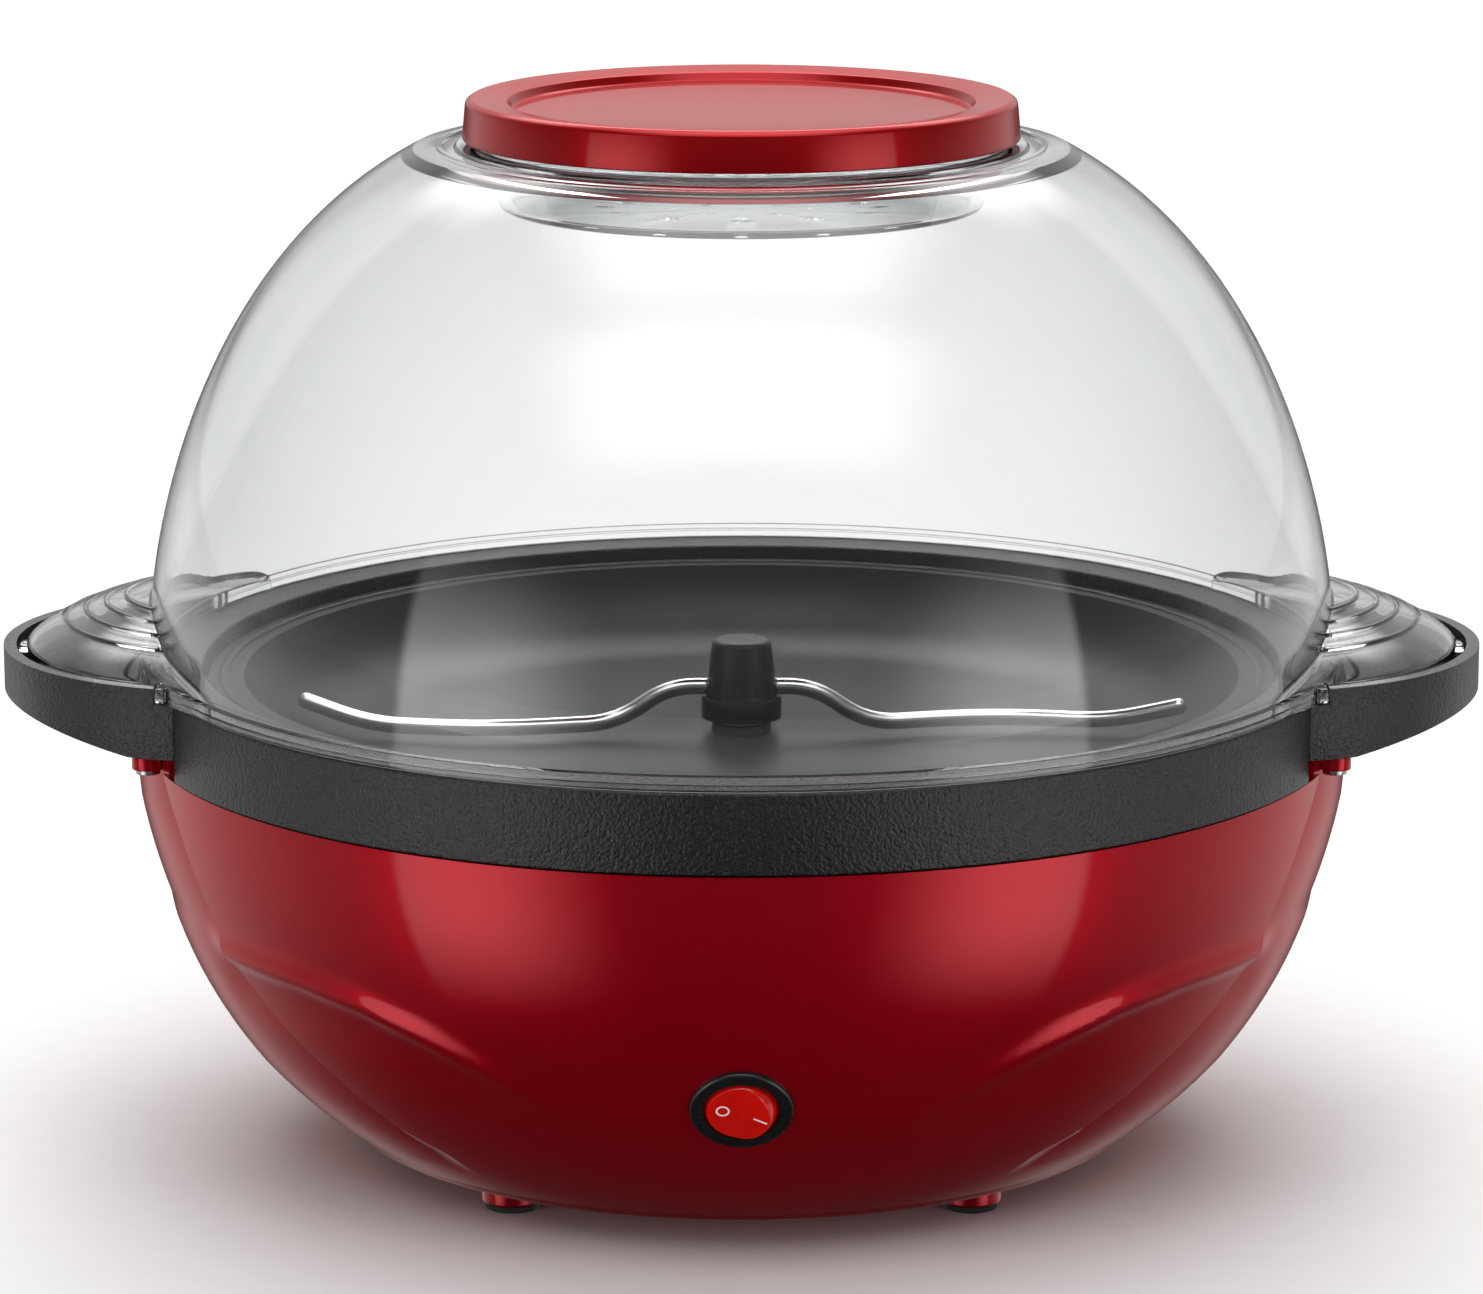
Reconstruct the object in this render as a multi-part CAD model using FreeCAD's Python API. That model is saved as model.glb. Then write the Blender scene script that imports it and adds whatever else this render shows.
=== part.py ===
"""Stirring popcorn maker: red base bowl, black collar with two handles, heated plate with a motor-driven
stirring rod, and a clear dome with a vented butter well closed by a red cap.

Frame: millimetres, +Z up, origin on the table under the middle of the machine, front (switch side) towards -Y.
"""
import FreeCAD
import Part
import math
import os

V = FreeCAD.Vector
UP = V(0, 0, 1)
DOWN = V(0, 0, -1)

# ---------------------------------------------------------------- driving dimensions (mm, degrees)
# heights of the stack, from the table
PAD_T = 1.5                 # rubber pad under each foot
BELLY_Z = 5.0               # lowest face of the red bowl
BOWL_TOP_Z = 98.2           # top edge of the red bowl, under the collar's skirt
SEAM_GAP = 0.3              # open seam between the bowl's edge and the collar's skirt
COLLAR_H = 18.5             # height of the collar's band
DOME_STAND = 121.6          # height of the dome's shoulder over the deck
NECK_H = 8.4                # height of the neck over the shoulder
CAP_PROUD = 2.5             # how far the cap stands over the neck
DECK_Z = BOWL_TOP_Z + SEAM_GAP + COLLAR_H  # top deck of the collar, where the dome stands
DOME_TOP_Z = DECK_Z + DOME_STAND  # shoulder of the dome beside its neck
NECK_TOP_Z = DOME_TOP_Z + NECK_H  # rim of the dome's neck
CAP_TOP_Z = NECK_TOP_Z + CAP_PROUD  # top face of the cap

# red bowl
BOWL_R = 141.4              # radius at its top edge
BOWL_POLE_DROP = 17.2       # the curve that shapes its wall ends this far below the table
BOWL_DEPTH = BOWL_TOP_Z + BOWL_POLE_DROP  # depth of the superellipse that shapes its wall
BOWL_POW_R = 2.53
BOWL_POW_Z = 1.98
BOWL_WALL = 2.5
TONGUE_H = 7.0              # inner lip that centres the collar
LEG_PROUD = 2.0             # how far each side panel stands out of the bowl
LEG_REACH_UP = 5.3          # how far the side panels reach over the seam, under the handles
LEG_TOP_Z = BOWL_TOP_Z + SEAM_GAP + LEG_REACH_UP  # side panels reach up under the handles
LEG_HALVES = ((BOWL_TOP_Z - 2.2, 48.0), (BOWL_TOP_Z - 35.2, 67.0), (BOWL_TOP_Z - 60.2, 78.0),
              (BELLY_Z + 2.0, 86.0))          # height, half width of a panel
LUG_T = 5.0                 # red lugs under the ends of the handles
HANDLE_LUG_T = 3.0          # the same under the handles
FOOT_R = 7.0
FOOT_X = 53.0
FOOT_Y = 65.0

# bottom cover
COVER_R = 72.0
COVER_T = 2.0
COVER_SCREW_R = COVER_R - 10.0  # radius of the screw circle
VENT_W = 3.0
VENT_L = 26.0
VENT_PITCH = 7.0
VENT_COUNT = 5

# collar
COLLAR_PROUD = 0.6          # the collar's band stands out of the bowl's top edge
COLLAR_R = BOWL_R + COLLAR_PROUD
COLLAR_WALL = 2.5
COLLAR_SKIRT_Z = BOWL_TOP_Z + SEAM_GAP  # lower edge of the skirt, front and back
COLLAR_DECK_T = 3.0
DECK_W = 14.5               # width of the deck
LEDGE_W = 8.5               # width of the ledge
LEDGE_DROP = 6.0            # the ledge lies this far under the deck
COLLAR_BORE_R = COLLAR_R - DECK_W  # inner wall that surrounds the plate's rim
LEDGE_R = COLLAR_BORE_R - LEDGE_W  # inner edge of the ledge under the plate's rim
LEDGE_Z = DECK_Z - LEDGE_DROP
LEDGE_T = 2.5
LUG_TOP_Z = BOWL_TOP_Z - 7.2  # lugs inside the bowl that the collar's pillars stand on
PILLAR_R = 3.5              # screw pillars under the deck
PILLAR_AT_R = COLLAR_R - 9.5
PILLAR_ANGLES = (30, 150, 210, 330)

# handles
HANDLE_REACH = 33.0         # how far a handle stands out of the collar
HANDLE_ROOT_IN = 27.0       # the centre of its outline lies this far inside the collar
HANDLE_CX = COLLAR_R - HANDLE_ROOT_IN  # centre of the handle's outline, which is an ellipse
HANDLE_TIP_X = COLLAR_R + HANDLE_REACH  # half of the overall width
HANDLE_HALF_Y = 59.0
HANDLE_WALL = 3.0
HANDLE_TOP_Z = DECK_Z + 3.4
HANDLE_LOW_TIP_Z = DECK_Z - 6.8
HANDLE_FLOOR_Z = DECK_Z - 4.5  # top of the tray floor
HANDLE_FLOOR_T = 2.5
NOTCH_X = COLLAR_R - 7.5    # the wall is lower inside this, for the dome's ears
HANDLE_BOSS_X = COLLAR_R - 5.5  # screw bosses at the ends of the handle
HANDLE_BOSS_Y = 50.5
HANDLE_BOSS_R = 4.5
HANDLE_HEAD_R = 2.8

# plate and heater
PLATE_T = 1.8
PLATE_DISH = 15.0           # depth of the dish under the ledge
RIM_GAP = 1.0               # round the plate's rim, inside the collar
PLATE_TOP_Z = LEDGE_Z - PLATE_DISH  # cooking surface
PLATE_RIM_R = COLLAR_BORE_R - RIM_GAP
PLATE_RISE_R = LEDGE_R - 1.0
PLATE_FLAT_R = PLATE_RISE_R - 30.0
GASKET_T = 1.0
SPOUT_R = 7.0               # raised collar round the shaft
SPOUT_TOP_Z = PLATE_TOP_Z + 4.0
SHIELD_T = 0.8
SHIELD_FLOOR_Z = PLATE_TOP_Z - 18.0
SHIELD_WALL_R = LEDGE_R - 0.5
SHIELD_RIM_R = COLLAR_BORE_R - 1.5
SHIELD_FLOOR_R = SHIELD_WALL_R - 20.5
STUD_R = 2.0
STUD_AT_R = 58.0
STUD_ANGLES = (90, 210, 330)
STUD_LOW_Z = PLATE_TOP_Z - 36.0
ELEMENT_R = 3.3
ELEMENT_AT_R = PLATE_FLAT_R - 12.0
ELEMENT_GAP_DEG = 44.0      # opening of the heater loop, towards the back
CLAMP_W = 8.0

# motor and stirrer
BRACKET_Z = PLATE_TOP_Z - 30.0  # lower face of the motor bracket
BRACKET_T = 1.5
BRACKET_R = STUD_AT_R + 8.0
MOTOR_R = 25.0
MOTOR_LOW_Z = BRACKET_Z - 24.0
MOTOR_BOX_Y = 28.0          # face of the box where the motor's leads come out
GEARBOX_T = 9.0
SHAFT_R = 3.0
SHAFT_TOP_Z = PLATE_TOP_Z + 17.0
SHAFT_LOW_Z = BRACKET_Z - 7.0
RUN_GAP = 0.06              # running clearance round the shaft
FLAT_DEPTH = 0.8            # D flat on the shaft's top
HUB_R = 9.5
HUB_LOW_Z = PLATE_TOP_Z + 5.2
HUB_TOP_Z = PLATE_TOP_Z + 24.0
ROD_R = 2.0
ROD_HUB_Z = PLATE_TOP_Z + 12.5  # height of the rod through the hub
ROD_RUN_Z = PLATE_TOP_Z + 3.6  # height of the sweeping part of the rod
ROD_REACH = PLATE_FLAT_R    # where the rod turns up along the dish
ROD_TIP_R = PLATE_RISE_R - 14.0
ROD_TIP_Z = PLATE_TOP_Z + 8.2  # rocker switch, in its own frame on the bowl's wall
SWITCH_Z = 41.8
SWITCH_TURN = 11.0          # the round switch sits turned a little in its hole
SWITCH_BODY_R = 9.9
SWITCH_BODY_L = 16.0
SWITCH_HOLE_GAP = 0.2       # between the switch body and its hole
SWITCH_HOLE_R = SWITCH_BODY_R + SWITCH_HOLE_GAP
BEZEL_R = SWITCH_BODY_R + 1.6
BEZEL_T = 1.8
ROCKER_R = SWITCH_BODY_R - 1.7
ROCKER_TILT = 9.0           # rocker angle either side of the middle
ROCKER_CROWN = 3.2          # height of the V's bottom over the pivot's own inset
ROCKER_GAP = 0.35
ROCKER_PIVOT_IN = 2.0       # pivot axis below the panel face
ROCKER_PIN_R = 1.0

# cord inlet on the back wall
INLET_Z = 36.0
INLET_FLANGE_R = 9.0
INLET_FLANGE_T = 2.0
INLET_BODY_R = 6.4
INLET_BORE_R = 3.7
INLET_LEN = 13.0

# dome
DOME_R = COLLAR_R - 1.7     # radius where the dome meets its flange
DOME_RISE = DOME_STAND + 11.2  # height of the superellipse that shapes it
DOME_POW_R = 2.92
DOME_POW_Z = 1.81
DOME_WALL = 2.2
FLANGE_R = COLLAR_R - 0.3
FLANGE_T = 3.4
NECK_R = 62.5
NECK_WALL = 2.2
SHOULDER_R = NECK_R + 7.5
WELL_R = NECK_R - 6.5
WELL_FLOOR_Z = DOME_TOP_Z - 15.1
WELL_FLOOR_T = 2.0
WELL_HOLE_R = 2.2
HOOD_R = HANDLE_TIP_X - HANDLE_CX - HANDLE_WALL - 4.4  # clear hood over each handle tray
HOOD_H = 20.0
HOOD_POW = 2.3
HOOD_WALL = 2.0
EAR_W = 5.0
WALL_SECTORS = 12           # the cover's solids, which touch: sectors round the wall
WALL_BANDS = (DECK_Z - 1.0, DECK_Z + 35.0, DECK_Z + 69.0, DECK_Z + 91.0, WELL_FLOOR_Z + 0.5,
              NECK_TOP_Z + 1.0)         # heights that divide the wall
WALL_CUP_IN = 3.0           # how far inside the well's wall its floor is divided off
HOOD_CUTS_X = (COLLAR_R - 22.0, COLLAR_R + 8.0, COLLAR_R + 18.0, HANDLE_TIP_X + 5.0)   # these divide a hood
HOOD_CUTS_Y = (-HANDLE_HALF_Y - 21.0, -34.0, -12.0, 12.0, 34.0, HANDLE_HALF_Y + 21.0)

# cap
CAP_R = NECK_R + 2.7
CAP_LOW_Z = DOME_TOP_Z + 1.4
CAP_WALL = 2.0
CAP_DISH_R = CAP_R - 10.7
CAP_DISH_DEPTH = 3.0
CAP_PLUG_R = NECK_R - NECK_WALL - 0.7
PROFILE_STEPS = 14          # spline points on each formula curve


# ---------------------------------------------------------------- helpers
def rz_edge(a, b):
    return Part.LineSegment(V(a[0], 0, a[1]), V(b[0], 0, b[1])).toShape()


def rz_spline(points):
    curve = Part.BSplineCurve()
    curve.interpolate([V(r, 0, z) for r, z in points])
    return curve.toShape()


def turn(edges, angle=360.0):
    """Revolves a closed (r, z) outline round the Z axis."""
    face = Part.Face(Part.Wire(Part.__sortEdges__(edges)))
    return face.revolve(V(0, 0, 0), UP, angle)


def turned(points):
    """A solid of revolution with a straight-sided (r, z) section."""
    loop = list(points) + [points[0]]
    return turn([rz_edge(a, b) for a, b in zip(loop, loop[1:])])


def disc(r, low, high, at=(0.0, 0.0)):
    return Part.makeCylinder(r, high - low, V(at[0], at[1], low), UP)


def tube(outer, inner, low, high, at=(0.0, 0.0)):
    return disc(outer, low, high, at).cut(disc(inner, low - 1, high + 1, at))


def block(x0, x1, y0, y1, z0, z1):
    return Part.makeBox(x1 - x0, y1 - y0, z1 - z0, V(x0, y0, z0))


def polar(radius, degrees):
    a = math.radians(degrees)
    return radius * math.cos(a), radius * math.sin(a)


def group(shapes):
    return Part.makeCompound(list(shapes))


def spun(shape, degrees):
    copy = shape.copy()
    copy.rotate(V(0, 0, 0), UP, degrees)
    return copy


def mirrored(shape):
    return shape.mirror(V(0, 0, 0), V(1, 0, 0))


def rounded_path(points, radius_share=0.45):
    """Straight runs joined by tangent arcs; each arc takes a share of its shorter run."""
    pts = [V(*p) for p in points]
    edges, here = [], pts[0]
    for before, corner, after in zip(pts, pts[1:], pts[2:]):
        a, b = (before - corner), (after - corner)
        cut = radius_share * min(a.Length, b.Length)
        a.normalize()
        b.normalize()
        start, end = corner + a * cut, corner + b * cut
        half = a.getAngle(b) / 2
        bisector = (a + b).normalize()
        centre_off = cut / math.cos(half)
        mid = corner + bisector * (centre_off - cut * math.tan(half))
        if (start - here).Length > 1e-6:
            edges.append(Part.LineSegment(here, start).toShape())
        edges.append(Part.Arc(start, mid, end).toShape())
        here = end
    edges.append(Part.LineSegment(here, pts[-1]).toShape())
    return Part.Wire(edges)


def wire_tube(points, radius):
    """A round wire or tube swept along rounded_path."""
    path = rounded_path(points)
    start = V(*points[0])
    heading = V(*points[1]) - start
    ring = Part.Wire(Part.makeCircle(radius, start, heading))
    return path.makePipeShell([ring], True, False)


def bowl_radius(z):
    """Outer radius of the red bowl at height z."""
    share = min(1.0, max(0.0, (BOWL_TOP_Z - z) / BOWL_DEPTH))
    return BOWL_R * (1 - share ** BOWL_POW_Z) ** (1 / BOWL_POW_R)


def bowl_slope(z):
    """Change of the bowl's radius with height."""
    step = 0.01
    return (bowl_radius(z + step) - bowl_radius(z - step)) / (2 * step)


def dome_radius(z):
    """Outer radius of the clear dome at height z."""
    share = min(1.0, max(0.0, (z - DECK_Z - 1.0) / DOME_RISE))
    return DOME_R * (1 - share ** DOME_POW_Z) ** (1 / DOME_POW_R)


def curve_points(radius_at, low, high, inward=0.0, steps=PROFILE_STEPS):
    """Points (r, z) on a formula profile, moved inward along its normal, denser towards the high end."""
    found = []
    for i in range(steps + 1):
        z = low + (high - low) * math.sin(math.pi / 2 * i / steps)
        step = 0.05
        slope = (radius_at(z + step) - radius_at(z - step)) / (2 * step)
        size = math.hypot(1.0, slope)
        found.append((radius_at(z) - inward / size, z + inward * slope / size))
    return found


def wall_frame(z, direction_deg):
    """Placement on the bowl's wall at height z: local +Z points out along the wall's normal."""
    slope = bowl_slope(z)
    a = math.radians(direction_deg)
    out = V(math.cos(a), math.sin(a), -slope).normalize()
    base = V(bowl_radius(z) * math.cos(a), bowl_radius(z) * math.sin(a), z)
    side = UP.cross(out).normalize()
    rise = out.cross(side)
    matrix = FreeCAD.Matrix(
        side.x, rise.x, out.x, base.x,
        side.y, rise.y, out.y, base.y,
        side.z, rise.z, out.z, base.z,
        0, 0, 0, 1)
    return FreeCAD.Placement(matrix)


def placed(shape, placement):
    copy = shape.copy()
    copy.Placement = placement.multiply(copy.Placement)
    return copy


def screw(head_r, head_t, shank_r, length, at, heading):
    """A pan-head screw: the head's seat is at the given point and the shank runs along the heading."""
    head = Part.makeCylinder(head_r, head_t, at, heading * -1)
    shank = Part.makeCylinder(shank_r, length, at, heading)
    slot_at = at - heading * head_t
    cross = Part.makeCylinder(head_r * 0.45, head_t * 0.5, slot_at, heading)
    return head.fuse(shank).cut(cross).removeSplitter()


SWITCH_FRAME = wall_frame(SWITCH_Z, -90).multiply(
    FreeCAD.Placement(V(0, 0, 0), FreeCAD.Rotation(UP, -SWITCH_TURN)))
INLET_FRAME = wall_frame(INLET_Z, 90)


# ---------------------------------------------------------------- red base
def bowl_blank(extra, low, high):
    """The solid inside the bowl's outer surface, grown by extra."""
    pts = curve_points(bowl_radius, high, low, -extra)
    pts = [(r, z) for r, z in pts]
    top = (pts[0][0], high)
    foot = (pts[-1][0], low)
    pts[0], pts[-1] = top, foot
    return turn([rz_spline(pts), rz_edge(foot, (0, low)), rz_edge((0, low), (0, high)), rz_edge((0, high), top)])


def side_panels():
    """Raised panels on both sides, wider towards the belly, with a lug under each end of the handle."""
    grown = bowl_blank(LEG_PROUD, BELLY_Z + 2.0, BOWL_TOP_Z)
    grown = grown.fuse(disc(BOWL_R + LEG_PROUD, BOWL_TOP_Z, LEG_TOP_Z))
    top = panel_top_half()
    side = [V(0, top, LEG_TOP_Z), V(0, top, LEG_HALVES[0][0] + 2.0)] + [V(0, half, z) for z, half in LEG_HALVES]
    other = [V(0, -p.y, p.z) for p in reversed(side)]
    outline = Part.makePolygon(side + other + side[:1])
    wedge = Part.Face(outline).extrude(V(BOWL_R + 20, 0, 0))
    right = grown.common(wedge)
    for y in (-HANDLE_BOSS_Y, HANDLE_BOSS_Y):
        right = right.fuse(disc(HANDLE_BOSS_R, LEG_TOP_Z - HANDLE_LUG_T, LEG_TOP_Z, (HANDLE_BOSS_X, y)))
    return right.fuse(mirrored(right))


def base_housing():
    shell = bowl_blank(0, BELLY_Z, BOWL_TOP_Z)
    tongue_r = COLLAR_R - COLLAR_WALL - 0.5
    shell = shell.fuse(disc(tongue_r, BOWL_TOP_Z - 4, BOWL_TOP_Z + TONGUE_H))
    shell = shell.fuse(side_panels())
    hollow = bowl_blank(-BOWL_WALL, BELLY_Z + BOWL_WALL, BOWL_TOP_Z)
    hollow = hollow.fuse(disc(tongue_r - BOWL_WALL, BOWL_TOP_Z - 6, BOWL_TOP_Z + TONGUE_H + 5))
    shell = shell.cut(hollow)
    shell = shell.cut(disc(COVER_R - 6, 0, 20))
    shell = shell.cut(tube(COVER_R + 0.5, COVER_R - 7, BELLY_Z - 1, BELLY_Z + COVER_T * 0.5))
    for x in (-FOOT_X, FOOT_X):
        for y in (-FOOT_Y, FOOT_Y):
            shell = shell.fuse(disc(FOOT_R, PAD_T, BELLY_Z + BOWL_WALL, (x, y)))
    for angle in PILLAR_ANGLES:
        lug = block(PILLAR_AT_R - 6, BOWL_R - 3, -6, 6, LUG_TOP_Z - LUG_T, LUG_TOP_Z)
        lug = lug.cut(disc(1.9, LUG_TOP_Z - 11, LUG_TOP_Z + 4, (PILLAR_AT_R, 0)))
        shell = shell.fuse(spun(lug, angle))
    for angle in (45, 135, 225, 315):
        x, y = polar(COVER_SCREW_R, angle)
        arm = block(COVER_SCREW_R - 5, COVER_R + 4, -5, 5, BELLY_Z + COVER_T, BELLY_Z + COVER_T + 4)
        arm = spun(arm, angle).cut(disc(1.3, 0, 40, (x, y)))
        shell = shell.fuse(arm)
    spot = Part.makeCylinder(BEZEL_R + 0.6, 20, V(0, 0, -0.9), UP)
    shell = shell.cut(placed(spot, SWITCH_FRAME))
    inner_pad = Part.makeCylinder(BEZEL_R + 2, 2.2, V(0, 0, -3.4), UP)
    shell = shell.fuse(placed(inner_pad, SWITCH_FRAME))
    shell = shell.cut(placed(Part.makeCylinder(SWITCH_HOLE_R, 30, V(0, 0, -15), UP), SWITCH_FRAME))
    shell = shell.cut(placed(Part.makeCylinder(INLET_FLANGE_R + 0.4, 20, V(0, 0, -0.9), UP), INLET_FRAME))
    inlet_pad = Part.makeCylinder(INLET_FLANGE_R + 2, 2.2, V(0, 0, -3.4), UP)
    shell = shell.fuse(placed(inlet_pad, INLET_FRAME))
    shell = shell.cut(placed(Part.makeCylinder(INLET_BODY_R + 0.1, 30, V(0, 0, -15), UP), INLET_FRAME))
    lug_low = LEG_TOP_Z - HANDLE_LUG_T
    for place in handle_screw_places():
        shell = shell.cut(disc(HANDLE_HEAD_R + 0.4, lug_low - 6, lug_low, place))
        shell = shell.cut(disc(1.7, lug_low - 1, LEG_TOP_Z + 1, place))
    return shell.removeSplitter()


def foot_pads():
    return group(disc(FOOT_R - 0.6, 0, PAD_T, (x, y)) for x in (-FOOT_X, FOOT_X) for y in (-FOOT_Y, FOOT_Y))


def bottom_cover():
    cover = disc(COVER_R, BELLY_Z - 1, BELLY_Z + COVER_T * 0.5)
    cover = cover.fuse(disc(COVER_R - 6.4, BELLY_Z - 1, BELLY_Z + COVER_T))
    for i in range(VENT_COUNT):
        x = (i - (VENT_COUNT - 1) / 2) * VENT_PITCH
        for y in (-34, 8):
            cover = cover.cut(block(x - VENT_W / 2, x + VENT_W / 2, y, y + VENT_L, 0, 20))
    for angle in (45, 135, 225, 315):
        cover = cover.cut(disc(1.9, 0, 20, polar(COVER_SCREW_R, angle)))
    return cover.removeSplitter()


def cover_screws():
    found = []
    for angle in (45, 135, 225, 315):
        x, y = polar(COVER_SCREW_R, angle)
        found.append(screw(3.4, 1.6, 1.3, 7.0, V(x, y, BELLY_Z - 1), UP))
    return group(found)


# ---------------------------------------------------------------- collar and handles
def collar_ring():
    wall = COLLAR_WALL
    section = [
        (COLLAR_R, COLLAR_SKIRT_Z), (COLLAR_R, DECK_Z), (COLLAR_BORE_R, DECK_Z), (COLLAR_BORE_R, LEDGE_Z),
        (LEDGE_R, LEDGE_Z), (LEDGE_R, LEDGE_Z - LEDGE_T), (COLLAR_BORE_R + wall, LEDGE_Z - LEDGE_T),
        (COLLAR_BORE_R + wall, DECK_Z - COLLAR_DECK_T), (COLLAR_R - wall, DECK_Z - COLLAR_DECK_T),
        (COLLAR_R - wall, COLLAR_SKIRT_Z)]
    ring = turned(section)
    half = panel_top_half() + 0.3
    for sx in (-1, 1):
        x0, x1 = sorted((sx * (COLLAR_R - 22), sx * (COLLAR_R + 18)))
        ring = ring.cut(block(x0, x1, -half, half, COLLAR_SKIRT_Z - 5, LEG_TOP_Z))
    for angle in PILLAR_ANGLES:
        pillar = disc(PILLAR_R, LUG_TOP_Z, DECK_Z - 1, (PILLAR_AT_R, 0))
        pillar = pillar.cut(disc(1.3, LUG_TOP_Z - 1, LUG_TOP_Z + 14, (PILLAR_AT_R, 0)))
        ring = ring.fuse(spun(pillar, angle))
    return ring.removeSplitter()


def collar_screws():
    return group(spun(screw(3.2, 1.8, 1.3, 17, V(PILLAR_AT_R, 0, LUG_TOP_Z - LUG_T), UP), a) for a in PILLAR_ANGLES)


def handle_root_x():
    """Where the handle's outline meets the collar."""
    x = HANDLE_CX
    while x ** 2 + handle_half_y(x) ** 2 < COLLAR_R ** 2:
        x += 0.05
    return x


def handle_half_y(x, inset=0.0):
    a = HANDLE_TIP_X - HANDLE_CX - inset
    share = min(1.0, abs(x - HANDLE_CX) / a)
    return (HANDLE_HALF_Y - inset) * math.sqrt(1 - share ** 2)


def panel_top_half():
    """Half width of a side panel at its top: as wide as the handle's root on the collar."""
    return math.sqrt(COLLAR_R ** 2 - handle_root_x() ** 2)


def handle_screw_places():
    return [(sx * HANDLE_BOSS_X, sy * HANDLE_BOSS_Y) for sx in (-1, 1) for sy in (-1, 1)]


def oval(inset, low, high):
    """The handle's outline, inset and extruded."""
    a = HANDLE_TIP_X - HANDLE_CX - inset
    b = HANDLE_HALF_Y - inset
    curve = Part.Ellipse(V(HANDLE_CX, 0, low), max(a, b), min(a, b))
    return Part.Face(Part.Wire(curve.toShape())).extrude(V(0, 0, high - low))


def handle_blank(inset, collar_gap, low, high):
    """The handle's outline beyond the collar, inset and extruded."""
    return oval(inset, low, high).cut(disc(COLLAR_R + collar_gap, low - 1, high + 1))


def handle_right():
    handle = handle_blank(0, 0, LEG_TOP_Z, HANDLE_TOP_Z)
    handle = handle.cut(handle_blank(HANDLE_WALL, -5, HANDLE_FLOOR_Z, HANDLE_TOP_Z + 1))
    under_side = handle_blank(HANDLE_WALL, HANDLE_WALL, LEG_TOP_Z - 1, HANDLE_FLOOR_Z - HANDLE_FLOOR_T)
    for y in (-HANDLE_BOSS_Y, HANDLE_BOSS_Y):
        under_side = under_side.cut(disc(HANDLE_BOSS_R, LEG_TOP_Z - 2, HANDLE_FLOOR_Z, (HANDLE_BOSS_X, y)))
    handle = handle.cut(under_side)
    start, far = HANDLE_BOSS_X + HANDLE_BOSS_R, HANDLE_TIP_X + 5
    slope = (HANDLE_LOW_TIP_Z - LEG_TOP_Z) / (HANDLE_TIP_X - start)
    under = Part.makePolygon([
        V(start, -80, LEG_TOP_Z), V(start, -80, LEG_TOP_Z - 5), V(far, -80, LEG_TOP_Z - 5),
        V(far, -80, LEG_TOP_Z + slope * (far - start)), V(start, -80, LEG_TOP_Z)])
    handle = handle.cut(Part.Face(under).extrude(V(0, 160, 0)))
    handle = handle.cut(block(100, NOTCH_X, -80, 80, DECK_Z - 0.3, HANDLE_TOP_Z + 10))
    for y in (-HANDLE_BOSS_Y, HANDLE_BOSS_Y):
        handle = handle.cut(disc(1.3, LEG_TOP_Z - 1, HANDLE_FLOOR_Z - 1.5, (HANDLE_BOSS_X, y)))
    return handle.removeSplitter()


def handle_screws():
    low = LEG_TOP_Z - HANDLE_LUG_T
    reach = HANDLE_FLOOR_Z - 2 - low
    return group(screw(HANDLE_HEAD_R, 1.4, 1.3, reach, V(x, y, low), UP) for x, y in handle_screw_places())


# ---------------------------------------------------------------- plate and heater
def dish_arc(shift, end_z):
    """Start, middle and end (r, z) of the dish's arc, offset downwards by shift and stopped at end_z."""
    rise = LEDGE_Z + GASKET_T + PLATE_T - PLATE_TOP_Z
    run = PLATE_RISE_R - PLATE_FLAT_R
    radius = (run ** 2 + rise ** 2) / (2 * rise)
    centre_z = PLATE_TOP_Z + radius
    r = radius + shift
    sweep = math.acos((centre_z - end_z) / r)
    return [(PLATE_FLAT_R + r * math.sin(sweep * k), centre_z - r * math.cos(sweep * k)) for k in (0, 0.5, 1)]


def arc_edge(points):
    return Part.Arc(*[V(r, 0, z) for r, z in points]).toShape()


def popping_plate():
    rim_low = LEDGE_Z + GASKET_T
    rim_top = rim_low + PLATE_T
    upper = dish_arc(0, rim_top)
    lower = dish_arc(PLATE_T, rim_low)
    spout_in = SPOUT_R - 1.8
    low = PLATE_TOP_Z - PLATE_T
    edges = [
        rz_edge((spout_in, SPOUT_TOP_Z), (SPOUT_R, SPOUT_TOP_Z)),
        rz_edge((SPOUT_R, SPOUT_TOP_Z), (SPOUT_R, PLATE_TOP_Z)),
        rz_edge((SPOUT_R, PLATE_TOP_Z), upper[0]),
        arc_edge(upper),
        rz_edge(upper[2], (PLATE_RIM_R, rim_top)),
        rz_edge((PLATE_RIM_R, rim_top), (PLATE_RIM_R, rim_low)),
        rz_edge((PLATE_RIM_R, rim_low), lower[2]),
        arc_edge(lower[::-1]),
        rz_edge(lower[0], (spout_in, low)),
        rz_edge((spout_in, low), (spout_in, SPOUT_TOP_Z))]
    return turn(edges)


def plate_gasket():
    return tube(PLATE_RIM_R - 0.5, LEDGE_R + 1.2, LEDGE_Z, LEDGE_Z + GASKET_T)


def shaft_seal():
    bush = tube(SPOUT_R - 1.8, SHAFT_R + RUN_GAP, PLATE_TOP_Z - PLATE_T, SPOUT_TOP_Z)
    lip = tube(SPOUT_R - 0.4, SHAFT_R + RUN_GAP, PLATE_TOP_Z - PLATE_T - 1.5, PLATE_TOP_Z - PLATE_T)
    return bush.fuse(lip).removeSplitter()


def plate_studs():
    return group(disc(STUD_R, STUD_LOW_Z, PLATE_TOP_Z - PLATE_T, polar(STUD_AT_R, a)) for a in STUD_ANGLES)


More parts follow.
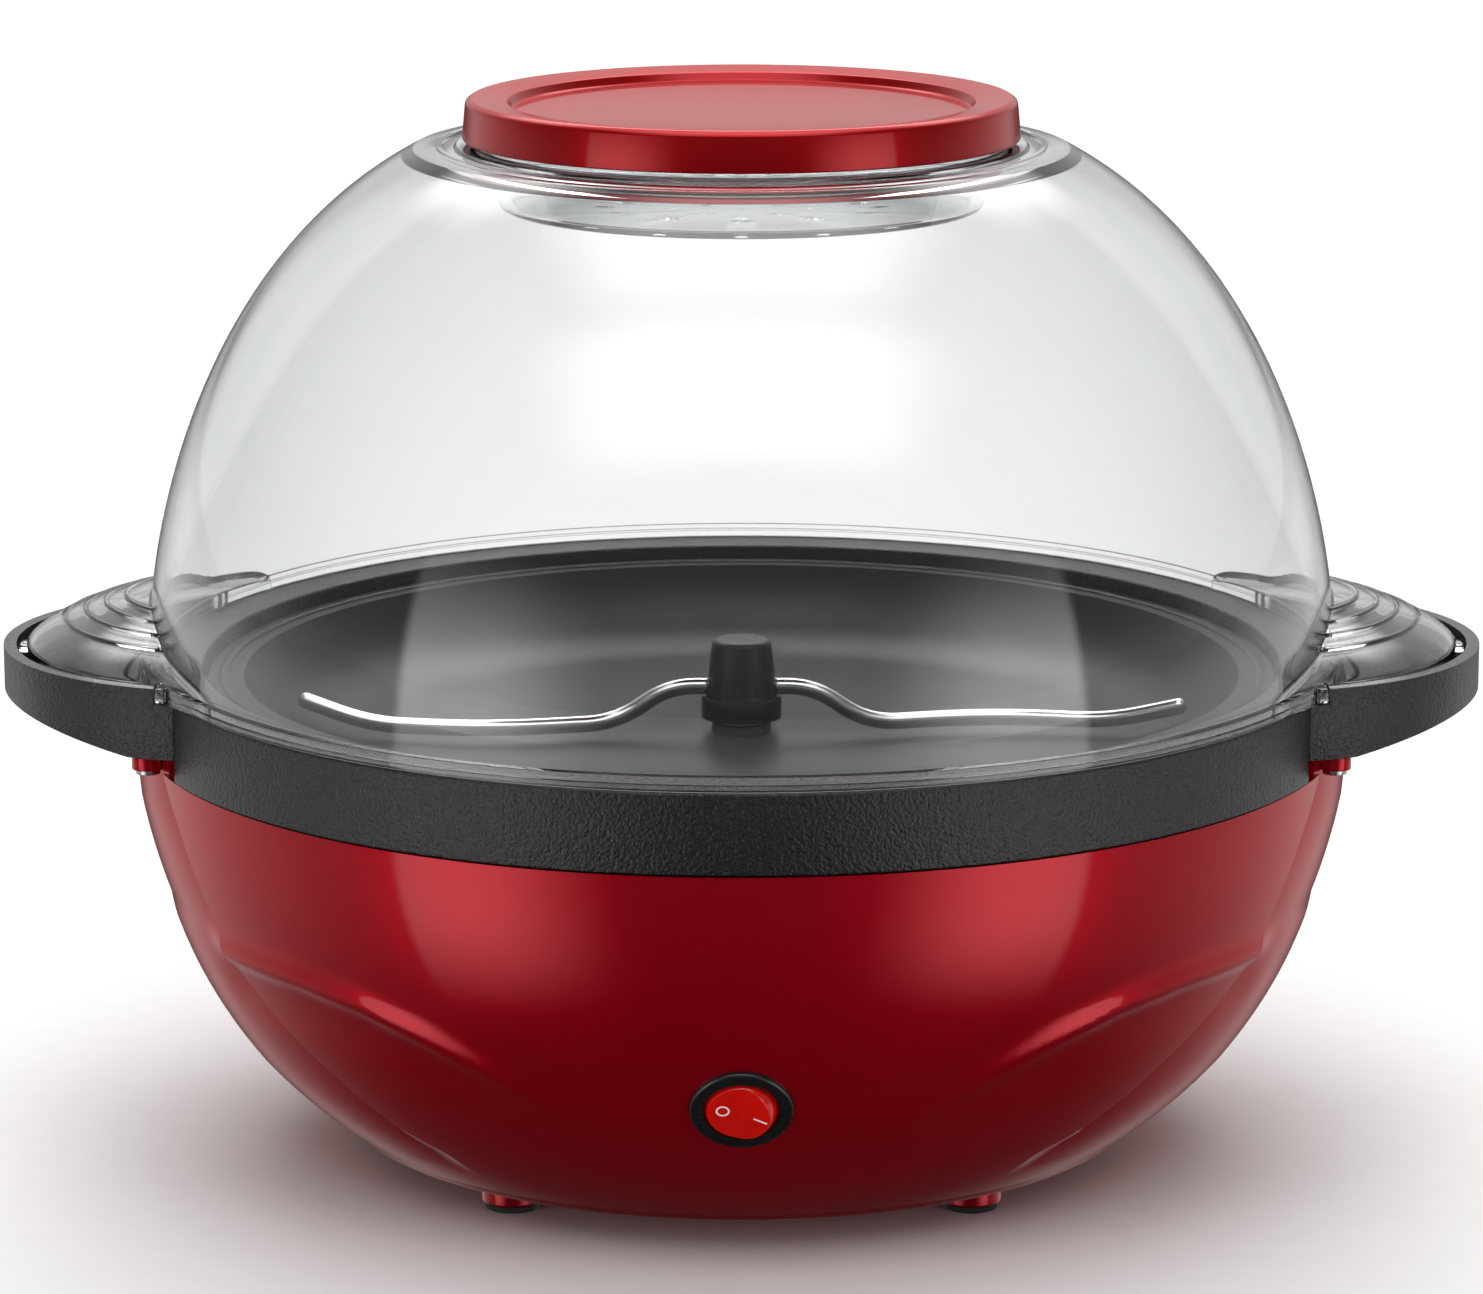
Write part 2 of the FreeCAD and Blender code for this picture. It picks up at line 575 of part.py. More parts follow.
def bracket_spacers():
    low = BRACKET_Z + BRACKET_T
    return group(tube(4.0, STUD_R + 0.15, low, SHIELD_FLOOR_Z, polar(STUD_AT_R, a)) for a in STUD_ANGLES)


def stud_nuts():
    found = []
    for a in STUD_ANGLES:
        x, y = polar(STUD_AT_R, a)
        corners = [V(x + 4.0 * math.cos(math.pi / 3 * k), y + 4.0 * math.sin(math.pi / 3 * k), BRACKET_Z - 3.2)
                   for k in range(7)]
        nut = Part.Face(Part.makePolygon(corners)).extrude(V(0, 0, 3.2))
        found.append(nut.cut(disc(STUD_R + 0.02, BRACKET_Z - 5, BRACKET_Z + 1, (x, y))))
    return group(found)


def heat_shield():
    rim_z = LEDGE_Z - LEDGE_T
    t = SHIELD_T
    shield = turned([
        (10, SHIELD_FLOOR_Z), (SHIELD_FLOOR_R, SHIELD_FLOOR_Z), (SHIELD_WALL_R, rim_z - t), (SHIELD_RIM_R, rim_z - t),
        (SHIELD_RIM_R, rim_z), (SHIELD_WALL_R - t, rim_z), (SHIELD_FLOOR_R - t, SHIELD_FLOOR_Z + t),
        (10, SHIELD_FLOOR_Z + t)])
    for a in STUD_ANGLES:
        shield = shield.cut(disc(STUD_R + 0.15, SHIELD_FLOOR_Z - 8, SHIELD_FLOOR_Z + 12, polar(STUD_AT_R, a)))
    for x, y, r in wire_ports():
        shield = shield.cut(disc(r, SHIELD_FLOOR_Z - 8, SHIELD_FLOOR_Z + 12, (x, y)))
    return shield


def wire_ports():
    """Holes in the shield for the heater's ends and for the leads: x, y, radius."""
    ends = [polar(ELEMENT_AT_R, 90 + s * ELEMENT_GAP_DEG / 2) for s in (-1, 1)]
    return [(x, y, 5.0) for x, y in ends] + [(x, y, 10.0) for x, y in (THERMO_AT, FUSE_AT)]


def heating_element():
    """A sheathed heater bent into an open loop under the plate, with both ends turned down."""
    z = PLATE_TOP_Z - PLATE_T - ELEMENT_R - 0.05
    first, last = 90 + ELEMENT_GAP_DEG / 2, 450 - ELEMENT_GAP_DEG / 2
    mid = (first + last) / 2
    ring = Part.Arc(*[V(*polar(ELEMENT_AT_R, a), z) for a in (first, mid, last)]).toShape()
    start = V(*polar(ELEMENT_AT_R, first), z)
    tangent = V(-start.y, start.x, 0).normalize()
    loop = Part.Wire([ring]).makePipeShell([Part.Wire(Part.makeCircle(ELEMENT_R, start, tangent))], True, False)
    for a in (first, last):
        x, y = polar(ELEMENT_AT_R, a)
        loop = loop.fuse(Part.makeSphere(ELEMENT_R, V(x, y, z)))
        loop = loop.fuse(disc(ELEMENT_R, SHIELD_FLOOR_Z - 8, z, (x, y)))
    return loop


def element_terminals():
    found = []
    for s in (-1, 1):
        x, y = polar(ELEMENT_AT_R, 90 + s * ELEMENT_GAP_DEG / 2)
        found.append(tube(2.6, 1.2, SHIELD_FLOOR_Z - 11, SHIELD_FLOOR_Z - 8, (x, y)))
        found.append(disc(1.2, SHIELD_FLOOR_Z - 16, SHIELD_FLOOR_Z - 8, (x, y)).fuse(
            block(x - 0.4, x + 0.4, y - 3.1, y + 3.1, SHIELD_FLOOR_Z - 24, SHIELD_FLOOR_Z - 15.5)))
    return group(found)


def element_clamps():
    found = []
    top = PLATE_TOP_Z - PLATE_T
    outer, inner = ELEMENT_R + 1.1, ELEMENT_R + 0.1
    z = top - ELEMENT_R - 0.05
    for a in (180, 270, 360):
        hoop = Part.makeCylinder(outer, CLAMP_W, V(ELEMENT_AT_R, -CLAMP_W / 2, z), V(0, 1, 0))
        hoop = hoop.cut(Part.makeCylinder(inner, CLAMP_W + 2, V(ELEMENT_AT_R, -CLAMP_W / 2 - 1, z), V(0, 1, 0)))
        hoop = hoop.common(block(ELEMENT_AT_R - 8, ELEMENT_AT_R + 8, -CLAMP_W, CLAMP_W, z - 8, z))
        sides = block(ELEMENT_AT_R - outer, ELEMENT_AT_R - inner, -CLAMP_W / 2, CLAMP_W / 2, z, top)
        sides = sides.fuse(block(ELEMENT_AT_R + inner, ELEMENT_AT_R + outer, -CLAMP_W / 2, CLAMP_W / 2, z, top))
        ears = block(ELEMENT_AT_R - outer - 5, ELEMENT_AT_R - inner, -CLAMP_W / 2, CLAMP_W / 2, top - 1, top)
        ears = ears.fuse(block(ELEMENT_AT_R + inner, ELEMENT_AT_R + outer + 5, -CLAMP_W / 2, CLAMP_W / 2, top - 1, top))
        found.append(spun(hoop.fuse(sides).fuse(ears).removeSplitter(), a))
    return group(found)


# ---------------------------------------------------------------- thermostat and fuse
THERMO_AT = (-36.0, 20.0)
FUSE_AT = (36.0, 20.0)


def thermostat_body():
    top = PLATE_TOP_Z - PLATE_T
    return disc(8.0, top - 9.5, top - 3.0, THERMO_AT)


def thermostat_cap():
    top = PLATE_TOP_Z - PLATE_T
    cap = disc(8.6, top - 3.0, top, THERMO_AT)
    return cap.fuse(tube(8.6, 8.0, top - 4.5, top - 3.0, THERMO_AT)).removeSplitter()


def thermostat_clip():
    """A spring strap across the thermostat's flange with two feet on the plate."""
    top = PLATE_TOP_Z - PLATE_T
    x, y = THERMO_AT
    bar = block(x - 14, x + 14, y - 3, y + 3, top - 10.5, top - 9.5)
    legs = block(x - 14, x - 13, y - 3, y + 3, top - 10.5, top)
    legs = legs.fuse(block(x + 13, x + 14, y - 3, y + 3, top - 10.5, top))
    return bar.fuse(legs).removeSplitter()


def thermostat_tabs():
    top = PLATE_TOP_Z - PLATE_T
    x, y = THERMO_AT
    return group(block(x - 0.4, x + 0.4, y + s * 5.2 - 1.6, y + s * 5.2 + 1.6, top - 14.5, top - 9.5) for s in (-1, 1))


def thermal_fuse():
    top = PLATE_TOP_Z - PLATE_T
    x, y = FUSE_AT
    body = Part.makeCylinder(2.0, 14, V(x, y - 7, top - 2.6), V(0, 1, 0))
    return body.fuse(Part.makeCylinder(0.5, 24, V(x, y - 12, top - 2.6), V(0, 1, 0)))


def fuse_strap():
    top = PLATE_TOP_Z - PLATE_T
    x, y = FUSE_AT
    strap = block(x - 3.4, x + 3.4, y - 4, y + 4, top - 5.6, top).cut(
        Part.makeCylinder(2.0, 20, V(x, y - 10, top - 2.6), V(0, 1, 0)))
    strap = strap.cut(block(x - 2.0, x + 2.0, y - 10, y + 10, top - 2.6, top + 1))
    return strap.fuse(block(x + 3.4, x + 9, y - 4, y + 4, top - 1, top)).removeSplitter()


# ---------------------------------------------------------------- motor
def motor_bracket():
    plate = disc(BRACKET_R, BRACKET_Z, BRACKET_Z + BRACKET_T)
    for a in STUD_ANGLES:
        plate = plate.cut(disc(STUD_R + 0.15, BRACKET_Z - 6, BRACKET_Z + 4, polar(STUD_AT_R, a)))
        plate = plate.cut(disc(16, BRACKET_Z - 6, BRACKET_Z + 4, polar(STUD_AT_R + 2, a + 60)))
    plate = plate.cut(disc(7.2, BRACKET_Z - 6, BRACKET_Z + 4))
    for s in (-1, 1):
        plate = plate.cut(disc(1.7, BRACKET_Z - 6, BRACKET_Z + 4, (s * 29.5, 0)))
    return plate


def motor_can():
    top = BRACKET_Z - GEARBOX_T
    can = disc(MOTOR_R - 0.8, MOTOR_LOW_Z, top)
    can = can.makeFillet(2.0, [e for e in can.Edges if abs(e.BoundBox.ZMax - MOTOR_LOW_Z) < 0.1 and e.Length > 50])
    lead_box = block(-8, 8, MOTOR_R - 5, MOTOR_BOX_Y, MOTOR_LOW_Z + 3, top)
    return can.fuse(lead_box).removeSplitter()


def gearbox_case():
    low = BRACKET_Z - GEARBOX_T
    case = disc(MOTOR_R, low, BRACKET_Z).fuse(disc(7.0, BRACKET_Z, BRACKET_Z + 5))
    ears = block(-33, 33, -5, 5, BRACKET_Z - 2, BRACKET_Z)
    case = case.fuse(ears).cut(disc(SHAFT_R + RUN_GAP, SHAFT_LOW_Z - 0.5, BRACKET_Z + 10))
    for s in (-1, 1):
        case = case.cut(disc(1.7, BRACKET_Z - 6, BRACKET_Z + 4, (s * 29.5, 0)))
    return case.removeSplitter()


def motor_screws():
    found = []
    for s in (-1, 1):
        found.append(screw(3.0, 1.6, 1.6, 6.0, V(s * 29.5, 0, BRACKET_Z + BRACKET_T), DOWN))
    return group(found)


def drive_shaft():
    shaft = disc(SHAFT_R, SHAFT_LOW_Z, SHAFT_TOP_Z)
    flat = block(SHAFT_R - FLAT_DEPTH, SHAFT_R + 1, -5, 5, SPOUT_TOP_Z + 2, SHAFT_TOP_Z + 1)
    return shaft.cut(flat)


# ---------------------------------------------------------------- stirrer
def stir_hub():
    grip_low = HUB_LOW_Z + 5
    hub = disc(HUB_R, HUB_LOW_Z, grip_low).fuse(
        Part.makeCone(HUB_R - 1.0, HUB_R - 2.6, HUB_TOP_Z - grip_low, V(0, 0, grip_low), UP))
    rim = [e for e in hub.Edges if abs(e.BoundBox.ZMin - HUB_TOP_Z) < 0.1]
    hub = hub.makeFillet(1.5, rim)
    bore_r = SHAFT_R + RUN_GAP
    bore = disc(bore_r, HUB_LOW_Z - 1, SHAFT_TOP_Z + 0.3)
    bore = bore.cut(block(SHAFT_R - FLAT_DEPTH + RUN_GAP, 6, -6, 6, SPOUT_TOP_Z + 2.4, HUB_TOP_Z))
    hub = hub.cut(bore)
    hub = hub.cut(block(SHAFT_R - FLAT_DEPTH, bore_r, -1.2, 1.2, HUB_LOW_Z - 1, SPOUT_TOP_Z + 2.4))
    for k in range(8):
        groove = disc(1.1, grip_low + 1, HUB_TOP_Z + 1, (HUB_R - 0.6, 0))
        hub = hub.cut(spun(groove, 22.5 + 45 * k))
    hub = hub.cut(stir_rod_solid())
    return hub.removeSplitter()


def stir_rod_arm(side):
    """One arm: out of the hub, down to the plate, along it and up the dish."""
    return [
        (side * 3.2, 0, ROD_HUB_Z), (side * 17, 0, ROD_HUB_Z), (side * 30, 0, ROD_RUN_Z),
        (side * (ROD_REACH - 28), side * 7, ROD_RUN_Z), (side * ROD_REACH, side * 2, ROD_RUN_Z), (side * ROD_TIP_R, side * -3, ROD_TIP_Z)]


def stir_rod_solid():
    arms = []
    for side in (-1, 1):
        pts = stir_rod_arm(side)
        pts[0] = (side * (SHAFT_R + 0.6), 0, ROD_HUB_Z)
        arms.append(wire_tube(pts, ROD_R).fuse(Part.makeSphere(ROD_R, V(*pts[-1]))))
    return group(arms)


# ---------------------------------------------------------------- rocker switch
def rocker_cavity():
    return Part.makeCylinder(ROCKER_R + ROCKER_GAP, 12, V(0, 0, -8.0), UP)


def switch_body():
    body = Part.makeCylinder(SWITCH_BODY_R, SWITCH_BODY_L, V(0, 0, -0.9 - SWITCH_BODY_L), UP)
    bezel = Part.makeCylinder(BEZEL_R, BEZEL_T, V(0, 0, -0.9), UP)
    edge = [e for e in bezel.Edges if abs(e.BoundBox.ZMin - (BEZEL_T - 0.9)) < 0.01 and e.Length > 30]
    bezel = bezel.makeFillet(0.8, edge)
    body = body.fuse(bezel).cut(rocker_cavity())
    body = body.cut(Part.makeCylinder(ROCKER_PIN_R + 0.08, 2 * ROCKER_R + 2.4, V(0, -ROCKER_R - 1.2, -ROCKER_PIVOT_IN), V(0, 1, 0)))
    return placed(body.removeSplitter(), SWITCH_FRAME)


def switch_rocker():
    """A round rocker: a ball on its pivot with a shallow V face and two pins; stored tipped to off."""
    pivot = V(0, 0, -ROCKER_PIVOT_IN)
    crown = ROCKER_CROWN - ROCKER_PIVOT_IN
    tip = crown + 12 * math.tan(math.radians(ROCKER_TILT))
    halves = []
    for s in (-1, 1):
        face = Part.makePolygon([
            V(0, -12, -5.6), V(s * 12, -12, -5.6), V(s * 12, -12, tip), V(0, -12, crown), V(0, -12, -5.6)])
        halves.append(Part.Face(face).extrude(V(0, 24, 0)))
    rocker = Part.makeSphere(ROCKER_R, pivot).common(halves[0].fuse(halves[1]))
    pin_len = 2 * (ROCKER_R + 1.0)
    rocker = rocker.fuse(Part.makeCylinder(ROCKER_PIN_R, pin_len, pivot - V(0, pin_len / 2, 0), V(0, 1, 0)))
    rocker = rocker.removeSplitter()
    rocker.rotate(pivot, V(0, 1, 0), -ROCKER_TILT)
    return placed(rocker, SWITCH_FRAME)


def switch_terminals():
    low = -0.9 - SWITCH_BODY_L
    tabs = [Part.makeBox(0.8, 4.8, 8.0, V(x - 0.4, -2.4, low - 8.0)) for x in (-5.5, 0.0, 5.5)]
    return placed(group(tabs), SWITCH_FRAME)


# ---------------------------------------------------------------- cord inlet
def inlet_bush():
    flange = Part.makeCylinder(INLET_FLANGE_R, INLET_FLANGE_T, V(0, 0, -0.9), UP)
    edge = [e for e in flange.Edges if abs(e.BoundBox.ZMin - (INLET_FLANGE_T - 0.9)) < 0.01 and e.Length > 30]
    flange = flange.makeFillet(0.8, edge)
    body = Part.makeCylinder(INLET_BODY_R, INLET_LEN, V(0, 0, -0.9 - INLET_LEN + 0.01), UP)
    bush = flange.fuse(body).cut(Part.makeCylinder(INLET_BORE_R, 40, V(0, 0, -20), UP))
    return placed(bush.removeSplitter(), INLET_FRAME)


BLOCK_AT = (0.0, 56.0)
BLOCK_WAYS = (-12.0, -4.0, 4.0, 12.0)
BLOCK_H = 14.0
BLOCK_HOLE_R = 2.2


def block_way(x):
    """Front mouth of one way of the terminal block."""
    return BLOCK_AT[0] + x, BLOCK_AT[1] - 7.0, BELLY_Z + COVER_T + BLOCK_H / 2


def terminal_block():
    x, y = BLOCK_AT
    floor = BELLY_Z + COVER_T
    body = block(x - 17, x + 17, y - 7, y + 7, floor, floor + BLOCK_H)
    for way in BLOCK_WAYS:
        body = body.cut(Part.makeCylinder(BLOCK_HOLE_R, 30, V(x + way, y - 15, floor + BLOCK_H / 2), V(0, 1, 0)))
        body = body.cut(disc(2.0, floor + BLOCK_H / 2, floor + BLOCK_H + 1, (x + way, y)))
    return body


def terminal_screws():
    x, y = BLOCK_AT
    top = BELLY_Z + COVER_T + BLOCK_H
    found = []
    for way in BLOCK_WAYS:
        shank = disc(2.0, top - 4.5, top - 0.5, (x + way, y))
        found.append(shank.cut(block(x + way - 3, x + way + 3, y - 0.3, y + 0.3, top - 1.3, top)))
    return group(found)


# ---------------------------------------------------------------- wiring
LEAD_R = 1.1


def switch_tab_end(x, out):
    """A point behind one switch tab, a distance out along the switch's axis."""
    p = SWITCH_FRAME.multVec(V(x, 0, -0.9 - SWITCH_BODY_L - 8.0 - out))
    return p.x, p.y, p.z


def into_way(x):
    """The last straight run into a way of the terminal block."""
    wx, wy, wz = block_way(x)
    return [(wx, wy - 10, wz), (wx, wy, wz)]


def switch_leads():
    """Block to switch, and switch to thermostat."""
    tx, ty = THERMO_AT
    tab_z = PLATE_TOP_Z - PLATE_T - 14.5
    first = [switch_tab_end(-5.5, 0), switch_tab_end(-5.5, 9), (-30, -84, 40), (-44, -40, 16), (-36, 16, 14)]
    second = [
        switch_tab_end(5.5, 0), switch_tab_end(5.5, 9), (-14, -88, 64), (-70, -52, 60), (-80, 4, 64),
        (-66, 18, 73), (tx, ty - 5.2, 72), (tx, ty - 5.2, tab_z)]
    return group([wire_tube(first + into_way(BLOCK_WAYS[0]), LEAD_R), wire_tube(second, LEAD_R)])


def heater_leads():
    """Thermostat to one heater end, the other end to the fuse, and the fuse to the block."""
    tx, ty = THERMO_AT
    fx, fy = FUSE_AT
    plate_low = PLATE_TOP_Z - PLATE_T
    ends = [polar(ELEMENT_AT_R, 90 + s * ELEMENT_GAP_DEG / 2) for s in (-1, 1)]
    (rx, ry), (lx, ly) = ends
    tab_z = SHIELD_FLOOR_Z - 24
    fuse_z = plate_low - 2.6
    reach = 12 + LEAD_R
    left = [
        (tx, ty + 5.2, plate_low - 14.5), (tx, ty + 5.2, 72), (-54, 50, 72), (-52, 68, 58), (-40, ly + 2, 44),
        (lx, ly, 44), (lx, ly, tab_z)]
    right = [
        (rx, ry, tab_z), (rx, ry, 44), (40, ry + 2, 44), (52, 68, 58), (54, 50, 72), (fx + 2, fy + 8, 73),
        (fx, fy + 7.5, 81), (fx, fy + reach, 86), (fx, fy + reach, fuse_z + LEAD_R)]
    neutral = [
        (fx, fy - reach, fuse_z + LEAD_R), (fx, fy - reach, 86), (fx, fy - 7.5, 81), (fx + 2, fy - 8, 73),
        (68, 16, 73), (82, 4, 62), (72, -8, 36), (40, 14, 14)]
    return group([wire_tube(left, LEAD_R), wire_tube(right, LEAD_R),
                  wire_tube(neutral + into_way(BLOCK_WAYS[3]), LEAD_R)])


def motor_leads():
    found = []
    for way in BLOCK_WAYS[1:3]:
        wx, wy, wz = block_way(way)
        found.append(wire_tube(
            [(wx, wy, wz), (wx, wy - 9, wz), (wx, wy - 9, 50), (wx, MOTOR_BOX_Y, 50)], LEAD_R))
    return group(found)


# ---------------------------------------------------------------- clear dome and cap
def hood_profile(r, h, steps=PROFILE_STEPS):
    """Half section of a hood: superellipse from its rim to its crown."""
    pts = []
    for i in range(steps + 1):
        a = math.pi / 2 * i / steps
        pts.append((r * math.cos(a) ** (2 / HOOD_POW), h * math.sin(a) ** (2 / HOOD_POW)))
    pts[-1] = (0.0, h)
    return pts


def hood_blank(inset):
    base = DECK_Z
    pts = [(r, z + base) for r, z in hood_profile(HOOD_R - inset, HOOD_H - inset)]
    solid = turn([rz_spline(pts), rz_edge(pts[-1], (0, base)), rz_edge((0, base), pts[0])])
    solid.translate(V(HANDLE_CX, 0, 0))
    return solid


def sectored(rings):
    """Each ring divided into equal sectors."""
    tools = []
    half = math.pi / WALL_SECTORS
    for k in range(WALL_SECTORS):
        mid = math.radians(360 * k / WALL_SECTORS)
        low = DECK_Z - 17
        corners = [V(0, 0, low)] + [V(300 * math.cos(mid + a), 300 * math.sin(mid + a), low) for a in (-half, half)]
        wedge = Part.Face(Part.makePolygon(corners + corners[:1])).extrude(V(0, 0, NECK_TOP_Z + 53 - low))
        tools += [wedge.common(ring) for ring in rings]
    return tools


def sliced(name, whole, tools):
    """One moulding kept as touching solids, so that collision follows its thin wall."""
    found = []
    for tool in tools:
        found += [s for s in whole.common(tool).Solids if s.Volume > 0.5]
    print(name, "in", len(found), "solids, volume off by", round(sum(s.Volume for s in found) - whole.Volume, 2))
    return Part.makeCompound(found)


def dome_cover():
    """Rings and sectors for the wall and the well, and a grid for each hood."""
    top = NECK_TOP_Z + 1
    outer_r, neck_r, floor_r = FLANGE_R + 0.05, NECK_R + 0.01, WELL_R - WALL_CUP_IN
    rings = [tube(outer_r, neck_r, low, high) for low, high in zip(WALL_BANDS, WALL_BANDS[1:])]
    rings.append(tube(neck_r, floor_r, WELL_FLOOR_Z - 1, top))
    tools = [disc(floor_r, WELL_FLOOR_Z - 1, WELL_FLOOR_Z + WELL_FLOOR_T + 1)] + sectored(rings)
    beyond = disc(outer_r, DECK_Z - 27, NECK_TOP_Z + 13)
    for side in (-1, 1):
        for x0, x1 in zip(HOOD_CUTS_X, HOOD_CUTS_X[1:]):
            for y0, y1 in zip(HOOD_CUTS_Y, HOOD_CUTS_Y[1:]):
                low, high = sorted((side * x0, side * x1))
                tools.append(block(low, high, y0, y1, 100, 200).cut(beyond))
    return sliced("dome_cover", dome_moulding(), tools)


def dome_moulding():
    foot = DECK_Z
    flange_top = foot + FLANGE_T
    outer = curve_points(dome_radius, flange_top, DOME_TOP_Z)
    outer[-1] = (SHOULDER_R, DOME_TOP_Z)
    inner = curve_points(dome_radius, flange_top, DOME_TOP_Z - 0.8, DOME_WALL)
    inner[-1] = (SHOULDER_R - 1.0, DOME_TOP_Z - DOME_WALL)
    inner_r = DOME_R - DOME_WALL
    neck_in = NECK_R - NECK_WALL
    well_in = WELL_R - NECK_WALL
    edges = [
        rz_edge((inner_r, foot), (FLANGE_R, foot)), rz_edge((FLANGE_R, foot), (FLANGE_R, flange_top)),
        rz_edge((FLANGE_R, flange_top), outer[0]), rz_spline(outer),
        rz_edge(outer[-1], (NECK_R + 1.2, DOME_TOP_Z - 0.6)), rz_edge((NECK_R + 1.2, DOME_TOP_Z - 0.6), (NECK_R, DOME_TOP_Z + 0.6)),
        rz_edge((NECK_R, DOME_TOP_Z + 0.6), (NECK_R, NECK_TOP_Z)), rz_edge((NECK_R, NECK_TOP_Z), (neck_in, NECK_TOP_Z)),
        rz_edge((neck_in, NECK_TOP_Z), (neck_in, DOME_TOP_Z - 1)), rz_edge((neck_in, DOME_TOP_Z - 1), (well_in, WELL_FLOOR_Z + WELL_FLOOR_T)),
        rz_edge((well_in, WELL_FLOOR_Z + WELL_FLOOR_T), (0, WELL_FLOOR_Z + WELL_FLOOR_T)),
        rz_edge((0, WELL_FLOOR_Z + WELL_FLOOR_T), (0, WELL_FLOOR_Z)), rz_edge((0, WELL_FLOOR_Z), (WELL_R, WELL_FLOOR_Z)),
        rz_edge((WELL_R, WELL_FLOOR_Z), (NECK_R, DOME_TOP_Z - DOME_WALL)),
        rz_edge((NECK_R, DOME_TOP_Z - DOME_WALL), inner[-1]), rz_spline(inner), rz_edge(inner[0], (inner_r, foot))]
    dome = turn([e for e in edges if e.Length > 1e-6])
    keep_out = disc(DOME_R - DOME_WALL + 0.6, 100, 200)
    right = hood_blank(0).cut(hood_blank(HOOD_WALL)).cut(keep_out)
    ears = []
    for s in (-1, 1):
        x_low = handle_root_x() - 3
        y_out = handle_half_y(NOTCH_X - 0.4) - 0.1
        y0, y1 = sorted((s * (y_out - EAR_W), s * y_out))
        ears.append(block(x_low, NOTCH_X - 0.4, y0, y1, foot, flange_top).cut(disc(DOME_R - 1, 90, 200)))
    right = right.fuse(ears[0]).fuse(ears[1])
    dome = dome.fuse(right).fuse(mirrored(right))
    for ring, count in ((0, 1), (16, 6), (32, 12)):
        for k in range(count):
            dome = dome.cut(disc(WELL_HOLE_R, WELL_FLOOR_Z - 1, WELL_FLOOR_Z + 5, polar(ring, 360 * k / count)))
    return dome.removeSplitter()


def top_cap():
    low, top = CAP_LOW_Z, CAP_TOP_Z
    dish = top - CAP_DISH_DEPTH
    under = NECK_TOP_Z
    wall = CAP_WALL
    cap = turned([
        (0, dish), (CAP_DISH_R, dish), (CAP_DISH_R + 0.6, top - 0.5), (CAP_R - 1.6, top), (CAP_R - 0.5, top - 1.0),
        (CAP_R, low), (CAP_R - wall, low), (CAP_R - wall, under), (CAP_PLUG_R, under), (CAP_PLUG_R, low + 2),
        (CAP_PLUG_R - wall, low + 2), (CAP_PLUG_R - wall, dish - wall), (0, dish - wall)])
    middle = CAP_PLUG_R - wall
    return sliced("top_cap", cap, [disc(middle, low - 1, top + 1)] + sectored([tube(CAP_R + 1, middle, low - 1, top + 1)]))


# ---------------------------------------------------------------- export
def main():
    right = handle_right()
    parts = {
        "base_housing": base_housing(), "foot_pads": foot_pads(), "bottom_cover": bottom_cover(),
        "cover_screws": cover_screws(), "collar_ring": collar_ring(), "collar_screws": collar_screws(),
        "handle_right": right, "handle_left": mirrored(right), "handle_screws": handle_screws(),
        "popping_plate": popping_plate(), "plate_gasket": plate_gasket(), "shaft_seal": shaft_seal(),
        "plate_studs": plate_studs(), "bracket_spacers": bracket_spacers(), "stud_nuts": stud_nuts(),
        "heat_shield": heat_shield(), "heating_element": heating_element(),
        "element_terminals": element_terminals(), "element_clamps": element_clamps(),
        "thermostat_body": thermostat_body(), "thermostat_cap": thermostat_cap(),
        "thermostat_clip": thermostat_clip(), "thermostat_tabs": thermostat_tabs(),
        "thermal_fuse": thermal_fuse(), "fuse_strap": fuse_strap(), "motor_bracket": motor_bracket(),
        "motor_can": motor_can(), "gearbox_case": gearbox_case(), "motor_screws": motor_screws(),
        "drive_shaft": drive_shaft(), "stir_hub": stir_hub(), "stir_rod": stir_rod_solid(),
        "switch_body": switch_body(), "switch_rocker": switch_rocker(), "switch_terminals": switch_terminals(),
        "inlet_bush": inlet_bush(), "terminal_block": terminal_block(), "terminal_screws": terminal_screws(),
        "switch_leads": switch_leads(), "heater_leads": heater_leads(), "motor_leads": motor_leads(),
        "dome_cover": dome_cover(), "top_cap": top_cap()}
    os.makedirs("parts", exist_ok=True)
    for name, shape in parts.items():
        solids = shape.Solids
        flaw = "" if shape.isValid() and solids and all(s.Volume > 0 for s in solids) else "  CHECK"
        print(f"{name:20s} {len(solids):3d} solids {shape.Volume / 1000:9.2f} cm3{flaw}")
        shape.exportStep(os.path.join("parts", name + ".step"))


main()
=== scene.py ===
import math
import bpy
import bmesh
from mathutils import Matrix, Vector


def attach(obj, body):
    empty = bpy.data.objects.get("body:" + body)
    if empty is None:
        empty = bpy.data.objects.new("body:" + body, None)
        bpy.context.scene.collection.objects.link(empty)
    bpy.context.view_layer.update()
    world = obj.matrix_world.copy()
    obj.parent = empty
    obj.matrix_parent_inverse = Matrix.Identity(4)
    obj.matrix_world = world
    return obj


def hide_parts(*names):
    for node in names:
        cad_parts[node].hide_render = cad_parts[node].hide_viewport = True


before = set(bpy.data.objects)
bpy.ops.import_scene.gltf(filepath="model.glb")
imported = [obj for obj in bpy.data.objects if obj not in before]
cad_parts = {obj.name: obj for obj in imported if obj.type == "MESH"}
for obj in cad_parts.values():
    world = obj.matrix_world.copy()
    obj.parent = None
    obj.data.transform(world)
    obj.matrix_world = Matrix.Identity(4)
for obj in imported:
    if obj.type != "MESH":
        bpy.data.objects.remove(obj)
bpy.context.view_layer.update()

MM = 0.001


